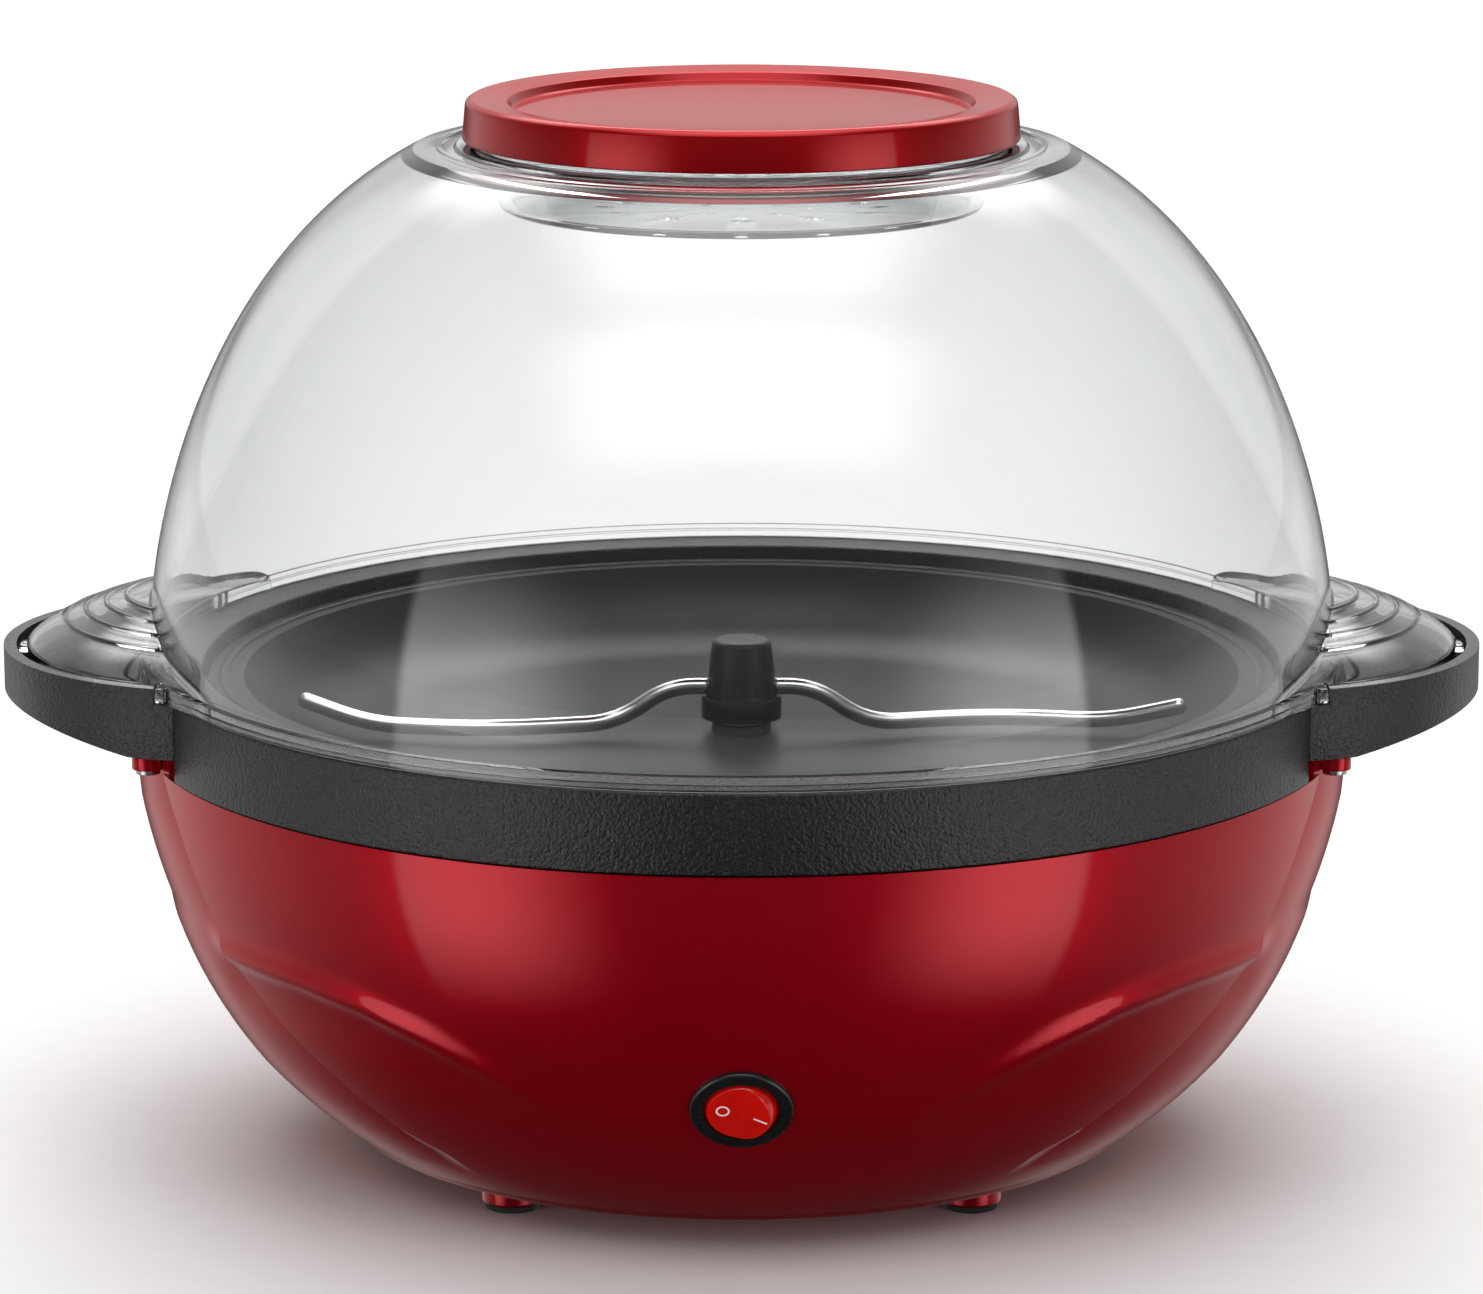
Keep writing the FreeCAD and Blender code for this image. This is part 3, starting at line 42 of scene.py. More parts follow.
# ------------------------------------------------------------------ sizes of the machine, in millimetres
BOWL_TOP, BOWL_R, BOWL_DEPTH, BOWL_WALL = 98.2, 141.4, 115.4, 2.5
BELLY = 5.0
COLLAR_R, DECK, SKIRT_LOW = 142.0, 117.0, 98.5
PANEL_R, PANEL_TOP, PANEL_HALF = 143.4, 103.8, 57.1
DOME_R, DOME_RISE, DOME_WALL, DOME_TOP = 140.3, 132.8, 2.2, 238.6
HANDLE_CX, HANDLE_A, HANDLE_B, HANDLE_WALL, HANDLE_TOP = 115.0, 60.0, 59.0, 3.0, 120.4
TRAY_FLOOR = 112.5
COLLAR_BORE, LEDGE_R, LEDGE_TOP = 127.5, 119.0, 111.0
FOOT_R, FOOT_X, FOOT_Y, PAD_TOP = 7.0, 53.0, 65.0, 1.5
LUG_R, LUG_X, LUG_Y = 3.7, 136.5, 50.5
BOWL_STEPS = 288                # columns of the turned bowl
CREASE_COLUMN = 24              # the column that is drawn to the crease


def bowl_radius(z):
    """Outer radius of the plain bowl at a height."""
    share = min(1.0, max(0.0, (BOWL_TOP - z) / BOWL_DEPTH))
    return BOWL_R * (1 - share ** 1.98) ** (1 / 2.53)


def dome_radius(z):
    """Outer radius of the clear dome at a height."""
    share = min(1.0, max(0.0, (z - DECK - 1.0) / DOME_RISE))
    return DOME_R * (1 - share ** 1.81) ** (1 / 2.92)


def along(table, x):
    """Straight-line reading of a small (x, value) table."""
    for (x0, v0), (x1, v1) in zip(table, table[1:]):
        if x <= x1:
            return v0 + (v1 - v0) * max(0.0, (x - x0) / (x1 - x0))
    return table[-1][1]


def ease(t):
    """A smooth step from 0 to 1."""
    t = min(1.0, max(0.0, t))
    return t * t * (3 - 2 * t)


# ------------------------------------------------------------------ workshop helpers
def calm():
    """Object mode, with nothing selected."""
    if bpy.context.object and bpy.context.object.mode != "OBJECT":
        bpy.ops.object.mode_set(mode="OBJECT")
    bpy.ops.object.select_all(action="DESELECT")


def named(name):
    """Names the active object and its mesh."""
    piece = bpy.context.object
    piece.name = name
    piece.data.name = name
    return piece


def hold(piece):
    """Object mode, with this piece alone selected and active."""
    calm()
    bpy.context.view_layer.objects.active = piece
    piece.select_set(True)
    return piece


def edit(piece):
    """Edit mode on this piece, with nothing selected."""
    hold(piece)
    bpy.ops.object.mode_set(mode="EDIT")
    bpy.ops.mesh.select_all(action="DESELECT")


def pick(piece, test, kind="FACE"):
    """In edit mode, selects the faces, edges or vertices whose centre and normal pass the test."""
    bpy.ops.mesh.select_mode(type=kind)
    bpy.ops.mesh.select_all(action="DESELECT")
    work = bmesh.from_edit_mesh(piece.data)
    if kind == "FACE":
        for face in work.faces:
            face.select = test(face.calc_center_median() / MM, face.normal)
    elif kind == "EDGE":
        for edge in work.edges:
            edge.select = test((edge.verts[0].co + edge.verts[1].co) / 2 / MM, edge)
    else:
        for vert in work.verts:
            vert.select = test(vert.co / MM, vert.normal)
    work.select_flush_mode()
    bmesh.update_edit_mesh(piece.data)


def finish_shape(piece, angle=35.0):
    """Settles a piece at the origin and smooths it up to an angle."""
    hold(piece)
    bpy.ops.object.transform_apply(location=True, rotation=True, scale=True)
    bpy.ops.object.shade_smooth_by_angle(angle=math.radians(angle))
    return piece


def apply_modifier(piece, kind, **settings):
    """Adds a modifier with these settings and applies it."""
    hold(piece)
    modifier = piece.modifiers.new(kind.lower(), kind)
    for key, value in settings.items():
        setattr(modifier, key, value)
    bpy.ops.object.modifier_apply(modifier=modifier.name)


def cut_away(piece, tool, operation="DIFFERENCE"):
    """Cuts the piece with a tool, or keeps their overlap, and throws the tool away."""
    apply_modifier(piece, "BOOLEAN", object=tool, operation=operation, solver="EXACT")
    bpy.data.objects.remove(tool, do_unlink=True)


def round_edges(piece, width, segments=3, angle=35.0):
    """Rounds the edges that are sharper than an angle; the width is in millimetres."""
    apply_modifier(piece, "BEVEL", width=width * MM, segments=segments, limit_method="ANGLE",
                   angle_limit=math.radians(angle), use_clamp_overlap=True, miter_outer="MITER_ARC")


def rounded(corners, steps=5):
    """A closed outline in millimetres with each (r, z, radius) corner rounded off."""
    found = []
    count = len(corners)
    for i, corner in enumerate(corners):
        here = Vector(corner[:2])
        radius = corner[2] if len(corner) > 2 else 0.0
        if radius <= 0:
            found.append(tuple(here))
            continue
        back = Vector(corners[i - 1][:2]) - here
        ahead = Vector(corners[(i + 1) % count][:2]) - here
        half = back.angle(ahead) / 2
        reach = min(radius / math.tan(half), 0.48 * back.length, 0.48 * ahead.length)
        back.normalize()
        ahead.normalize()
        start, end = here + back * reach, here + ahead * reach
        for k in range(steps + 1):
            t = k / steps
            found.append(tuple((1 - t) ** 2 * start + 2 * t * (1 - t) * here + t ** 2 * end))
    return found


def turned(name, outline, steps=160, closed=True, sweep=360.0):
    """Draws an (r, z) outline as a chain of edges and spins it round the vertical axis."""
    calm()
    bpy.ops.mesh.primitive_plane_add(size=0.001, location=(0, 0, 0))
    piece = named(name)
    bpy.ops.object.mode_set(mode="EDIT")
    bpy.ops.mesh.select_mode(type="VERT")
    bpy.ops.mesh.select_all(action="SELECT")
    bpy.ops.mesh.merge(type="CENTER")
    points = [Vector((r * MM, 0, z * MM)) for r, z in outline]
    bpy.ops.transform.translate(value=points[0])
    for start, end in zip(points, points[1:]):
        bpy.ops.mesh.extrude_vertices_move(TRANSFORM_OT_translate={"value": end - start})
    if closed:
        work = bmesh.from_edit_mesh(piece.data)
        work.verts.ensure_lookup_table()
        ends = [v for v in work.verts if len(v.link_edges) == 1]
        for vert in work.verts:
            vert.select = vert in ends
        bmesh.update_edit_mesh(piece.data)
        bpy.ops.mesh.edge_face_add()
    bpy.ops.mesh.select_all(action="SELECT")
    bpy.ops.mesh.spin(steps=steps, angle=math.radians(sweep), center=(0, 0, 0), axis=(0, 0, 1))
    bpy.ops.mesh.select_all(action="SELECT")
    bpy.ops.mesh.remove_doubles(threshold=1e-6)
    bpy.ops.mesh.normals_make_consistent(inside=False)
    bpy.ops.object.mode_set(mode="OBJECT")
    return piece


def drum(name, radius, low, high, at=(0.0, 0.0), vertices=64):
    """An upright cylinder between two heights, in millimetres."""
    calm()
    bpy.ops.mesh.primitive_cylinder_add(vertices=vertices, radius=radius * MM, depth=(high - low) * MM,
                                        location=(at[0] * MM, at[1] * MM, (low + high) / 2 * MM))
    piece = named(name)
    bpy.ops.object.transform_apply(location=True, rotation=True, scale=True)
    return piece


def brick(name, low, high):
    """A box between two corners, in millimetres."""
    calm()
    middle = [(a + b) / 2 * MM for a, b in zip(low, high)]
    bpy.ops.mesh.primitive_cube_add(size=1, location=middle, scale=[(b - a) * MM for a, b in zip(low, high)])
    piece = named(name)
    bpy.ops.object.transform_apply(location=True, rotation=True, scale=True)
    return piece


def joined(name, pieces):
    """Joins pieces into the first one."""
    hold(pieces[0])
    for piece in pieces[1:]:
        piece.select_set(True)
    bpy.ops.object.join()
    return named(name)


def twin(piece, name):
    """A mirrored copy on the other side of the machine, turned right side out."""
    hold(piece)
    bpy.ops.object.duplicate()
    copy = named(name)
    bpy.ops.transform.mirror(constraint_axis=(True, False, False), center_override=(0, 0, 0))
    bpy.ops.object.transform_apply(location=True, rotation=True, scale=True)
    bpy.ops.object.mode_set(mode="EDIT")
    bpy.ops.mesh.select_all(action="SELECT")
    bpy.ops.mesh.normals_make_consistent(inside=False)
    bpy.ops.object.mode_set(mode="OBJECT")
    return copy


def refined(node, name, width=0.0, angle=30.0, segments=2):
    """A merged copy of a CAD node with softly rounded edges."""
    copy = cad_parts[node].copy()
    copy.data = copy.data.copy()
    bpy.context.scene.collection.objects.link(copy)
    hold(copy)
    named(name)
    bpy.ops.object.mode_set(mode="EDIT")
    bpy.ops.mesh.select_all(action="SELECT")
    bpy.ops.mesh.remove_doubles(threshold=2e-6)
    bpy.ops.object.mode_set(mode="OBJECT")
    if width > 0:
        apply_modifier(copy, "DECIMATE", decimate_type="DISSOLVE", angle_limit=math.radians(0.5))
        round_edges(copy, width, segments, angle)
    finish_shape(copy, angle)
    return copy


# ------------------------------------------------------------------ materials
def hex_colour(code, alpha=1.0):
    """An sRGB hex value as a linear colour."""
    parts = [int(code[i:i + 2], 16) / 255 for i in (1, 3, 5)]
    return [c / 12.92 if c <= 0.04045 else ((c + 0.055) / 1.055) ** 2.4 for c in parts] + [alpha]


def add_node(tree, kind, values=None, links=None, **settings):
    """Adds one node, sets its options and socket values, and links sockets to (node, output) sources."""
    made = tree.nodes.new(kind)
    for key, value in settings.items():
        setattr(made, key, value)
    for key, value in (values or {}).items():
        made.inputs[key].default_value = value
    for key, (source, output) in (links or {}).items():
        tree.links.new(source.outputs[output], made.inputs[key])
    return made


def blank_material(name):
    """A material with an empty node tree."""
    material = bpy.data.materials.new(name)
    material.use_nodes = True
    material.node_tree.nodes.clear()
    return material, material.node_tree


def moulded_red_abs(name, deep="#960013", lit="#A4001B", flake=0.02):
    """High-gloss moulded ABS in pearl red: a wet-looking skin over a fine, soft flow in the colour."""
    material, tree = blank_material(name)
    place = add_node(tree, "ShaderNodeTexCoord")
    flow = add_node(tree, "ShaderNodeTexNoise", {"Scale": 18.0, "Detail": 3.0, "Roughness": 0.5},
                    {"Vector": (place, "Object")})
    # pearl flake about 0.25 mm across, drawn at 0.5 mm so that it shows
    pearl = add_node(tree, "ShaderNodeTexNoise", {"Scale": 2000.0, "Detail": 1.0}, {"Vector": (place, "Object")})
    tone = add_node(tree, "ShaderNodeMix", {"A": hex_colour(deep), "B": hex_colour(lit)},
                    {"Factor": (flow, "Fac")}, data_type="RGBA")
    ripple = add_node(tree, "ShaderNodeBump", {"Strength": flake, "Distance": 0.0002}, {"Height": (pearl, "Fac")})
    gloss = add_node(tree, "ShaderNodeMapRange", {"From Min": 0.3, "From Max": 0.7, "To Min": 0.30, "To Max": 0.36},
                     {"Value": (flow, "Fac")})
    shader = add_node(tree, "ShaderNodeBsdfPrincipled",
                      {"Metallic": 0.55, "IOR": 1.45, "Specular Tint": hex_colour("#FF5A5A"), "Coat Weight": 0.45,
                       "Coat Roughness": 0.05, "Coat IOR": 1.45},
                      {"Base Color": (tone, "Result"), "Roughness": (gloss, "Result"), "Normal": (ripple, "Normal")})
    add_node(tree, "ShaderNodeOutputMaterial", links={"Surface": (shader, "BSDF")})
    return material


def grained_black_polypropylene(name):
    """Moulded polypropylene with a spark-eroded grain: black with a fine pale sparkle where light grazes it."""
    material, tree = blank_material(name)
    place = add_node(tree, "ShaderNodeTexCoord")
    # grain pits about 0.5 mm apart, drawn at 0.9 mm so that they show
    grain = add_node(tree, "ShaderNodeTexNoise", {"Scale": 1150.0, "Detail": 3.0, "Roughness": 0.6},
                     {"Vector": (place, "Object")})
    patch = add_node(tree, "ShaderNodeTexNoise", {"Scale": 35.0, "Detail": 2.0}, {"Vector": (place, "Object")})
    tone = add_node(tree, "ShaderNodeMix", {"A": hex_colour("#060607"), "B": hex_colour("#0B0B0C")},
                    {"Factor": (patch, "Fac")}, data_type="RGBA")
    dull = add_node(tree, "ShaderNodeMapRange", {"From Min": 0.3, "From Max": 0.7, "To Min": 0.26, "To Max": 0.40},
                    {"Value": (grain, "Fac")})
    pits = add_node(tree, "ShaderNodeBump", {"Strength": 0.9, "Distance": 0.00045}, {"Height": (grain, "Fac")})
    shader = add_node(tree, "ShaderNodeBsdfPrincipled", {"IOR": 1.55, "Specular IOR Level": 0.5},
                      {"Base Color": (tone, "Result"), "Roughness": (dull, "Result"), "Normal": (pits, "Normal")})
    add_node(tree, "ShaderNodeOutputMaterial", links={"Surface": (shader, "BSDF")})
    return material


def clear_moulded_polycarbonate(name):
    """Clear injection-moulded polycarbonate: polished and near-white, with painted shade that greys the colour where
    the surface is seen edge-on, and slow ripples from the mould.
    """
    material, tree = blank_material(name)
    place = add_node(tree, "ShaderNodeTexCoord")
    # slow flow ripples about 40 mm apart
    flow = add_node(tree, "ShaderNodeTexNoise", {"Scale": 25.0, "Detail": 1.0}, {"Vector": (place, "Object")})
    # painted shade: the colour turns grey towards the edges that are seen edge-on
    facing = add_node(tree, "ShaderNodeLayerWeight", {"Blend": 0.25})
    body = add_node(tree, "ShaderNodeMix", {"A": hex_colour("#FBFCFC"), "B": hex_colour("#C9CCCF")},
                    {"Factor": (facing, "Facing")}, data_type="RGBA")
    ripple = add_node(tree, "ShaderNodeBump", {"Strength": 0.03, "Distance": 0.001}, {"Height": (flow, "Fac")})
    shader = add_node(tree, "ShaderNodeBsdfPrincipled",
                      {"Roughness": 0.02, "IOR": 1.49, "Transmission Weight": 1.0},
                      {"Base Color": (body, "Result"), "Normal": (ripple, "Normal")})
    add_node(tree, "ShaderNodeOutputMaterial", links={"Surface": (shader, "BSDF")})
    return material


def speckled_nonstick(name):
    """Non-stick fluoropolymer sprayed on aluminium: dark grey, low gloss, with a fine pale fleck."""
    material, tree = blank_material(name)
    place = add_node(tree, "ShaderNodeTexCoord")
    # spray droplets about 1 mm across
    fleck = add_node(tree, "ShaderNodeTexVoronoi", {"Scale": 900.0}, {"Vector": (place, "Object")})
    light = add_node(tree, "ShaderNodeMapRange", {"From Min": 0.0, "From Max": 0.18, "To Min": 1.0, "To Max": 0.0},
                     {"Value": (fleck, "Distance")})
    tone = add_node(tree, "ShaderNodeMix", {"A": hex_colour("#2B2B2D"), "B": hex_colour("#5C5C60")},
                    {"Factor": (light, "Result")}, data_type="RGBA")
    orange = add_node(tree, "ShaderNodeTexNoise", {"Scale": 700.0, "Detail": 2.0}, {"Vector": (place, "Object")})
    skin = add_node(tree, "ShaderNodeBump", {"Strength": 0.15, "Distance": 0.0002}, {"Height": (orange, "Fac")})
    shader = add_node(tree, "ShaderNodeBsdfPrincipled", {"Roughness": 0.42, "IOR": 1.38},
                      {"Base Color": (tone, "Result"), "Normal": (skin, "Normal")})
    add_node(tree, "ShaderNodeOutputMaterial", links={"Surface": (shader, "BSDF")})
    return material


def drawn_metal(name, tone_a, tone_b, roughness, stretch=(1.0, 1.0, 1.0), scale=900.0):
    """Rolled or drawn metal: a bright skin with fine lines left by the die or the roller."""
    material, tree = blank_material(name)
    place = add_node(tree, "ShaderNodeTexCoord")
    along_grain = add_node(tree, "ShaderNodeMapping", {"Scale": stretch}, {"Vector": (place, "Object")})
    lines = add_node(tree, "ShaderNodeTexNoise", {"Scale": scale, "Detail": 2.0}, {"Vector": (along_grain, "Vector")})
    tone = add_node(tree, "ShaderNodeMix", {"A": hex_colour(tone_a), "B": hex_colour(tone_b)},
                    {"Factor": (lines, "Fac")}, data_type="RGBA")
    sheen = add_node(tree, "ShaderNodeMapRange",
                     {"From Min": 0.3, "From Max": 0.7, "To Min": roughness * 0.8, "To Max": roughness * 1.3},
                     {"Value": (lines, "Fac")})
    scratch = add_node(tree, "ShaderNodeBump", {"Strength": 0.05, "Distance": 0.0001}, {"Height": (lines, "Fac")})
    shader = add_node(tree, "ShaderNodeBsdfPrincipled", {"Metallic": 1.0},
                      {"Base Color": (tone, "Result"), "Roughness": (sheen, "Result"), "Normal": (scratch, "Normal")})
    add_node(tree, "ShaderNodeOutputMaterial", links={"Surface": (shader, "BSDF")})
    return material


def moulded_plastic(name, tone_a, tone_b, roughness, grain_mm=0.8, ior=1.5, depth=0.1):
    """Plain moulded plastic, rubber or ceramic: an even tone with a slight mottle and a fine skin."""
    material, tree = blank_material(name)
    place = add_node(tree, "ShaderNodeTexCoord")
    skin = add_node(tree, "ShaderNodeTexNoise", {"Scale": 1000.0 / grain_mm, "Detail": 2.0},
                    {"Vector": (place, "Object")})
    mottle = add_node(tree, "ShaderNodeTexNoise", {"Scale": 120.0, "Detail": 2.0}, {"Vector": (place, "Object")})
    tone = add_node(tree, "ShaderNodeMix", {"A": hex_colour(tone_a), "B": hex_colour(tone_b)},
                    {"Factor": (mottle, "Fac")}, data_type="RGBA")
    dull = add_node(tree, "ShaderNodeMapRange",
                    {"From Min": 0.3, "From Max": 0.7, "To Min": roughness * 0.9, "To Max": roughness * 1.15},
                    {"Value": (skin, "Fac")})
    bumps = add_node(tree, "ShaderNodeBump", {"Strength": depth, "Distance": 0.0002}, {"Height": (skin, "Fac")})
    shader = add_node(tree, "ShaderNodeBsdfPrincipled", {"IOR": ior},
                      {"Base Color": (tone, "Result"), "Roughness": (dull, "Result"), "Normal": (bumps, "Normal")})
    add_node(tree, "ShaderNodeOutputMaterial", links={"Surface": (shader, "BSDF")})
    return material


def translucent_red_polycarbonate_painted_glow(name):
    """Tinted translucent polycarbonate: saturated red, with a faint painted glow in its emission so that it seems lit
    from within.
    """
    material, tree = blank_material(name)
    place = add_node(tree, "ShaderNodeTexCoord")
    depth = add_node(tree, "ShaderNodeTexNoise", {"Scale": 160.0, "Detail": 2.0}, {"Vector": (place, "Object")})
    tone = add_node(tree, "ShaderNodeMix", {"A": hex_colour("#A80500"), "B": hex_colour("#CC0C02")},
                    {"Factor": (depth, "Fac")}, data_type="RGBA")
    # the emission is a painted glow: no lamp lights the rocker
    shader = add_node(tree, "ShaderNodeBsdfPrincipled",
                      {"Roughness": 0.12, "IOR": 1.58, "Subsurface Weight": 0.4,
                       "Subsurface Radius": (0.004, 0.0006, 0.0004), "Subsurface Scale": 1.0,
                       "Emission Color": hex_colour("#FF2010"), "Emission Strength": 0.06},
                      {"Base Color": (tone, "Result")})
    add_node(tree, "ShaderNodeOutputMaterial", links={"Surface": (shader, "BSDF")})
    return material


# the outside: deep pearl red, a slightly warmer red for the cap, grained black, and clear
red_abs = moulded_red_abs("red_abs_gloss")
cap_abs = moulded_red_abs("cap_abs_gloss", "#96020A", "#A4030E", 0.01)
black_grain = grained_black_polypropylene("black_polypropylene_grained")
clear_pc = clear_moulded_polycarbonate("clear_polycarbonate_edge_shaded")
nonstick = speckled_nonstick("nonstick_coating")
# metals: dull grey plate, a mirror-bright rod, satin sheet and warm yellow tabs
steel = drawn_metal("zinc_plated_steel", "#A9A9A6", "#C6C6C4", 0.3)
bright_steel = drawn_metal("polished_stainless_wire", "#C4C4C4", "#DADADA", 0.14, (0.1, 1.0, 1.0))
aluminium = drawn_metal("pressed_aluminium", "#B9BABB", "#D2D3D4", 0.34)
brass = drawn_metal("rolled_brass", "#B08A3C", "#CBA552", 0.28)
# plastics, rubber and ceramic: even and slightly mottled, from the glossy bezel to chalky ceramic
black_nylon = moulded_plastic("black_nylon", "#121213", "#1B1B1C", 0.26, 1.2, depth=0.04)
black_rubber = moulded_plastic("black_rubber", "#151515", "#1D1D1C", 0.75, 0.8, depth=0.2)
hub_phenolic = moulded_plastic("hub_phenolic", "#1B1718", "#2A2425", 0.4, 0.9)
silicone = moulded_plastic("grey_silicone", "#8F8880", "#A39C93", 0.6, 0.9)
white_ptfe = moulded_plastic("white_ptfe", "#DAD9D2", "#ECEBE6", 0.45, 0.9)
ceramic = moulded_plastic("steatite_ceramic", "#DCD3C0", "#EAE3D3", 0.5, 0.5)
phenolic = moulded_plastic("brown_phenolic", "#3C1F10", "#512B18", 0.35, 0.7)
white_nylon = moulded_plastic("white_nylon", "#D5D5D0", "#E4E4E0", 0.4, 0.9)
sleeve = moulded_plastic("silicone_sleeve_wire", "#C9C7C0", "#DAD8D1", 0.55, 0.5)
black_abs = moulded_plastic("black_abs", "#141415", "#1E1E1F", 0.42, 0.7, depth=0.2)
mark_ink = moulded_plastic("white_pad_print", "#E6DAD6", "#F4ECE9", 0.4, 0.6, depth=0.02)
rocker_pc = translucent_red_polycarbonate_painted_glow("rocker_polycarbonate_painted_glow")


def dress(piece, material):
    """Gives the whole piece one material."""
    piece.data.materials.clear()
    piece.data.materials.append(material)
    for face in piece.data.polygons:
        face.material_index = 0


NODE_FINISH = {
    "bottom_cover": black_abs, "cover_screws": steel, "collar_screws": steel, "handle_screws": steel,
    "foot_pads": black_rubber, "plate_gasket": silicone, "shaft_seal": white_ptfe, "plate_studs": steel,
    "bracket_spacers": steel, "stud_nuts": steel, "heat_shield": aluminium, "heating_element": steel,
    "element_terminals": ceramic, "element_clamps": steel, "thermostat_body": phenolic, "thermostat_cap": aluminium,
    "thermostat_clip": steel, "thermostat_tabs": brass, "thermal_fuse": white_nylon, "fuse_strap": steel,
    "motor_bracket": steel, "motor_can": steel, "gearbox_case": steel, "motor_screws": steel,
    "switch_terminals": brass, "terminal_block": white_nylon, "terminal_screws": brass, "switch_leads": sleeve,
    "heater_leads": sleeve, "motor_leads": sleeve, "base_housing": red_abs, "collar_ring": black_grain,
    "handle_right": black_grain, "handle_left": black_grain, "popping_plate": nonstick, "inlet_bush": black_rubber,
    "drive_shaft": bright_steel, "stir_hub": hub_phenolic, "stir_rod": bright_steel, "switch_body": black_nylon,
    "switch_rocker": rocker_pc, "dome_cover": clear_pc, "top_cap": cap_abs}
for node_name, finish in NODE_FINISH.items():
    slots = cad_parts[node_name].material_slots
    for slot in slots:
        slot.material = finish


# ------------------------------------------------------------------ red bowl
CREASE = [(5, 58.0), (19.7, 51.8), (23, 48.0), (30.8, 43.7), (39, 39.8), (44.4, 36.8), (49.7, 33.9), (56.2, 31.2),
          (64, 29.6), (75, 27.0), (87.7, 23.4), (98.5, 19.0)]       # height, degrees from the side
RIDGE = [(24.0, 60.5), (28.0, 61.2), (32.7, 61.6), (43.2, 61.6), (51.1, 59.2), (57.7, 54.3), (63.7, 47.8),
         (68.8, 41.4), (73.4, 36.2), (80.0, 30.0)]                  # degrees from the side, height
STRIP_SWELL = [(5, 0.0), (16, 0.6), (26, 1.4), (48, 1.2), (58, 1.0), (61, 0.6), (63.5, 0.2), (75, 1.0), (86, 1.9),
               (98.2, 2.0)]                                         # height, how far the strip's middle stands out
STRIP_STEP = [(5, 0.0), (14, 0.0), (22, 0.9), (36, 2.3), (58, 3.0), (70, 3.2), (98.2, 3.2)]    # its drop at the crease


def strip_lift(side_angle, z):
    """How far the side strip stands out (or in) from the plain bowl, in millimetres."""
    crease = along(CREASE, z)
    if side_angle >= crease:
        return 0.0
    inward = 1.0 - side_angle / crease
    middle = along(STRIP_SWELL, z)
    depth = along(STRIP_STEP, z)
    return -depth + (depth + middle) * (1 - (1 - min(1.0, inward / 0.8)) ** 1.7)


def ridge_lift(side_angle, z):
    """The raised line that sweeps from each side towards the front and back."""
    if side_angle < 20 or side_angle > 82:
        return 0.0
    height = along(RIDGE, side_angle)
    strength = ease((side_angle - 23.0) / 6.0) * (1 - ease((side_angle - 50.0) / 26.0))
    off = z - height
    width = 3.4 if off > 0 else 2.4
    return strength * (2.0 * math.exp(-(off / width) ** 2) - (0.5 * math.exp(-((off + 9.0) / 6.0) ** 2)))


def sculpt_bowl(piece):
    """Moves the outer wall's vertices: columns are drawn to the creases, then the strips and ridges are raised."""
    column = 360.0 / BOWL_STEPS
    edge = CREASE_COLUMN * column
    for vert in piece.data.vertices:
        r = math.hypot(vert.co.x, vert.co.y) / MM
        z = vert.co.z / MM
        if z > BOWL_TOP + 0.01 or z < BELLY - 0.01 or r < bowl_radius(min(z, BOWL_TOP)) - 1.2:
            continue
        angle = math.degrees(math.atan2(abs(vert.co.y), abs(vert.co.x)))
        crease = along(CREASE, z)
        warped = along([(0, 0), (edge, crease - 0.12), (edge + column, crease + 0.2), (90, 90)], angle)
        lift = strip_lift(warped, z) + ridge_lift(warped, z)
        fade = ease((z - BELLY) / 8.0) * ease((BOWL_TOP + 0.6 - z) / 1.2 + 0.5)
        a = math.radians(warped)
        new_r = r + lift * fade
        vert.co.x = math.copysign(new_r * MM * math.cos(a), vert.co.x) if abs(vert.co.x) > 1e-9 else 0.0
        vert.co.y = math.copysign(new_r * MM * math.sin(a), vert.co.y) if abs(vert.co.y) > 1e-9 else 0.0


def make_bowl():
    """The turned bowl with its inner lip, sculpted strips and ridges, and four feet."""
    outer = [(bowl_radius(z), z) for z in [BELLY + 0.8 * i for i in range(12)]]
    low = outer[-1][1]
    outer += [(bowl_radius(z), z) for z in [low + (BOWL_TOP - low) * (i + 1) / 62 for i in range(62)]]
    base = [(66.0, 7.5), (66.0, 6.0), (72.5, 6.0), (72.5, 5.3), (72.9, 5.0), (84.0, 5.0), (89.0, 5.05)]
    start = [(92.6, 5.35), (95.3, 6.3)]
    outer = start + [p for p in outer if p[1] > 7.2]
    top = [(139.0, BOWL_TOP), (139.0, 105.0), (138.7, 105.2), (136.8, 105.2), (136.5, 105.0), (136.5, 92.2)]
    inner = [(bowl_radius(z) - BOWL_WALL - 0.4, z) for z in (86, 76, 66, 56, 46, 37, 28, 20, 14, 10)]
    inner.append((90.0, 7.5))
    bowl = turned("red_bowl", base + outer + top + inner, steps=BOWL_STEPS)
    sculpt_bowl(bowl)
    for y in (-FOOT_Y, FOOT_Y):
        for x in (-FOOT_X, FOOT_X):
            foot = drum("foot", FOOT_R, PAD_TOP, 7.4, (x, y), 48)
            edit(foot)
            pick(foot, lambda c, n: n.z < -0.9)
            bpy.ops.mesh.bevel(offset=0.6 * MM, segments=3, affect="EDGES")
            bpy.ops.object.mode_set(mode="OBJECT")
            bowl = joined("red_bowl", [bowl, foot])
    return bowl


bowl = make_bowl()
finish_shape(bowl, 40)
dress(bowl, red_abs)
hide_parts("base_housing")
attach(bowl, "base")


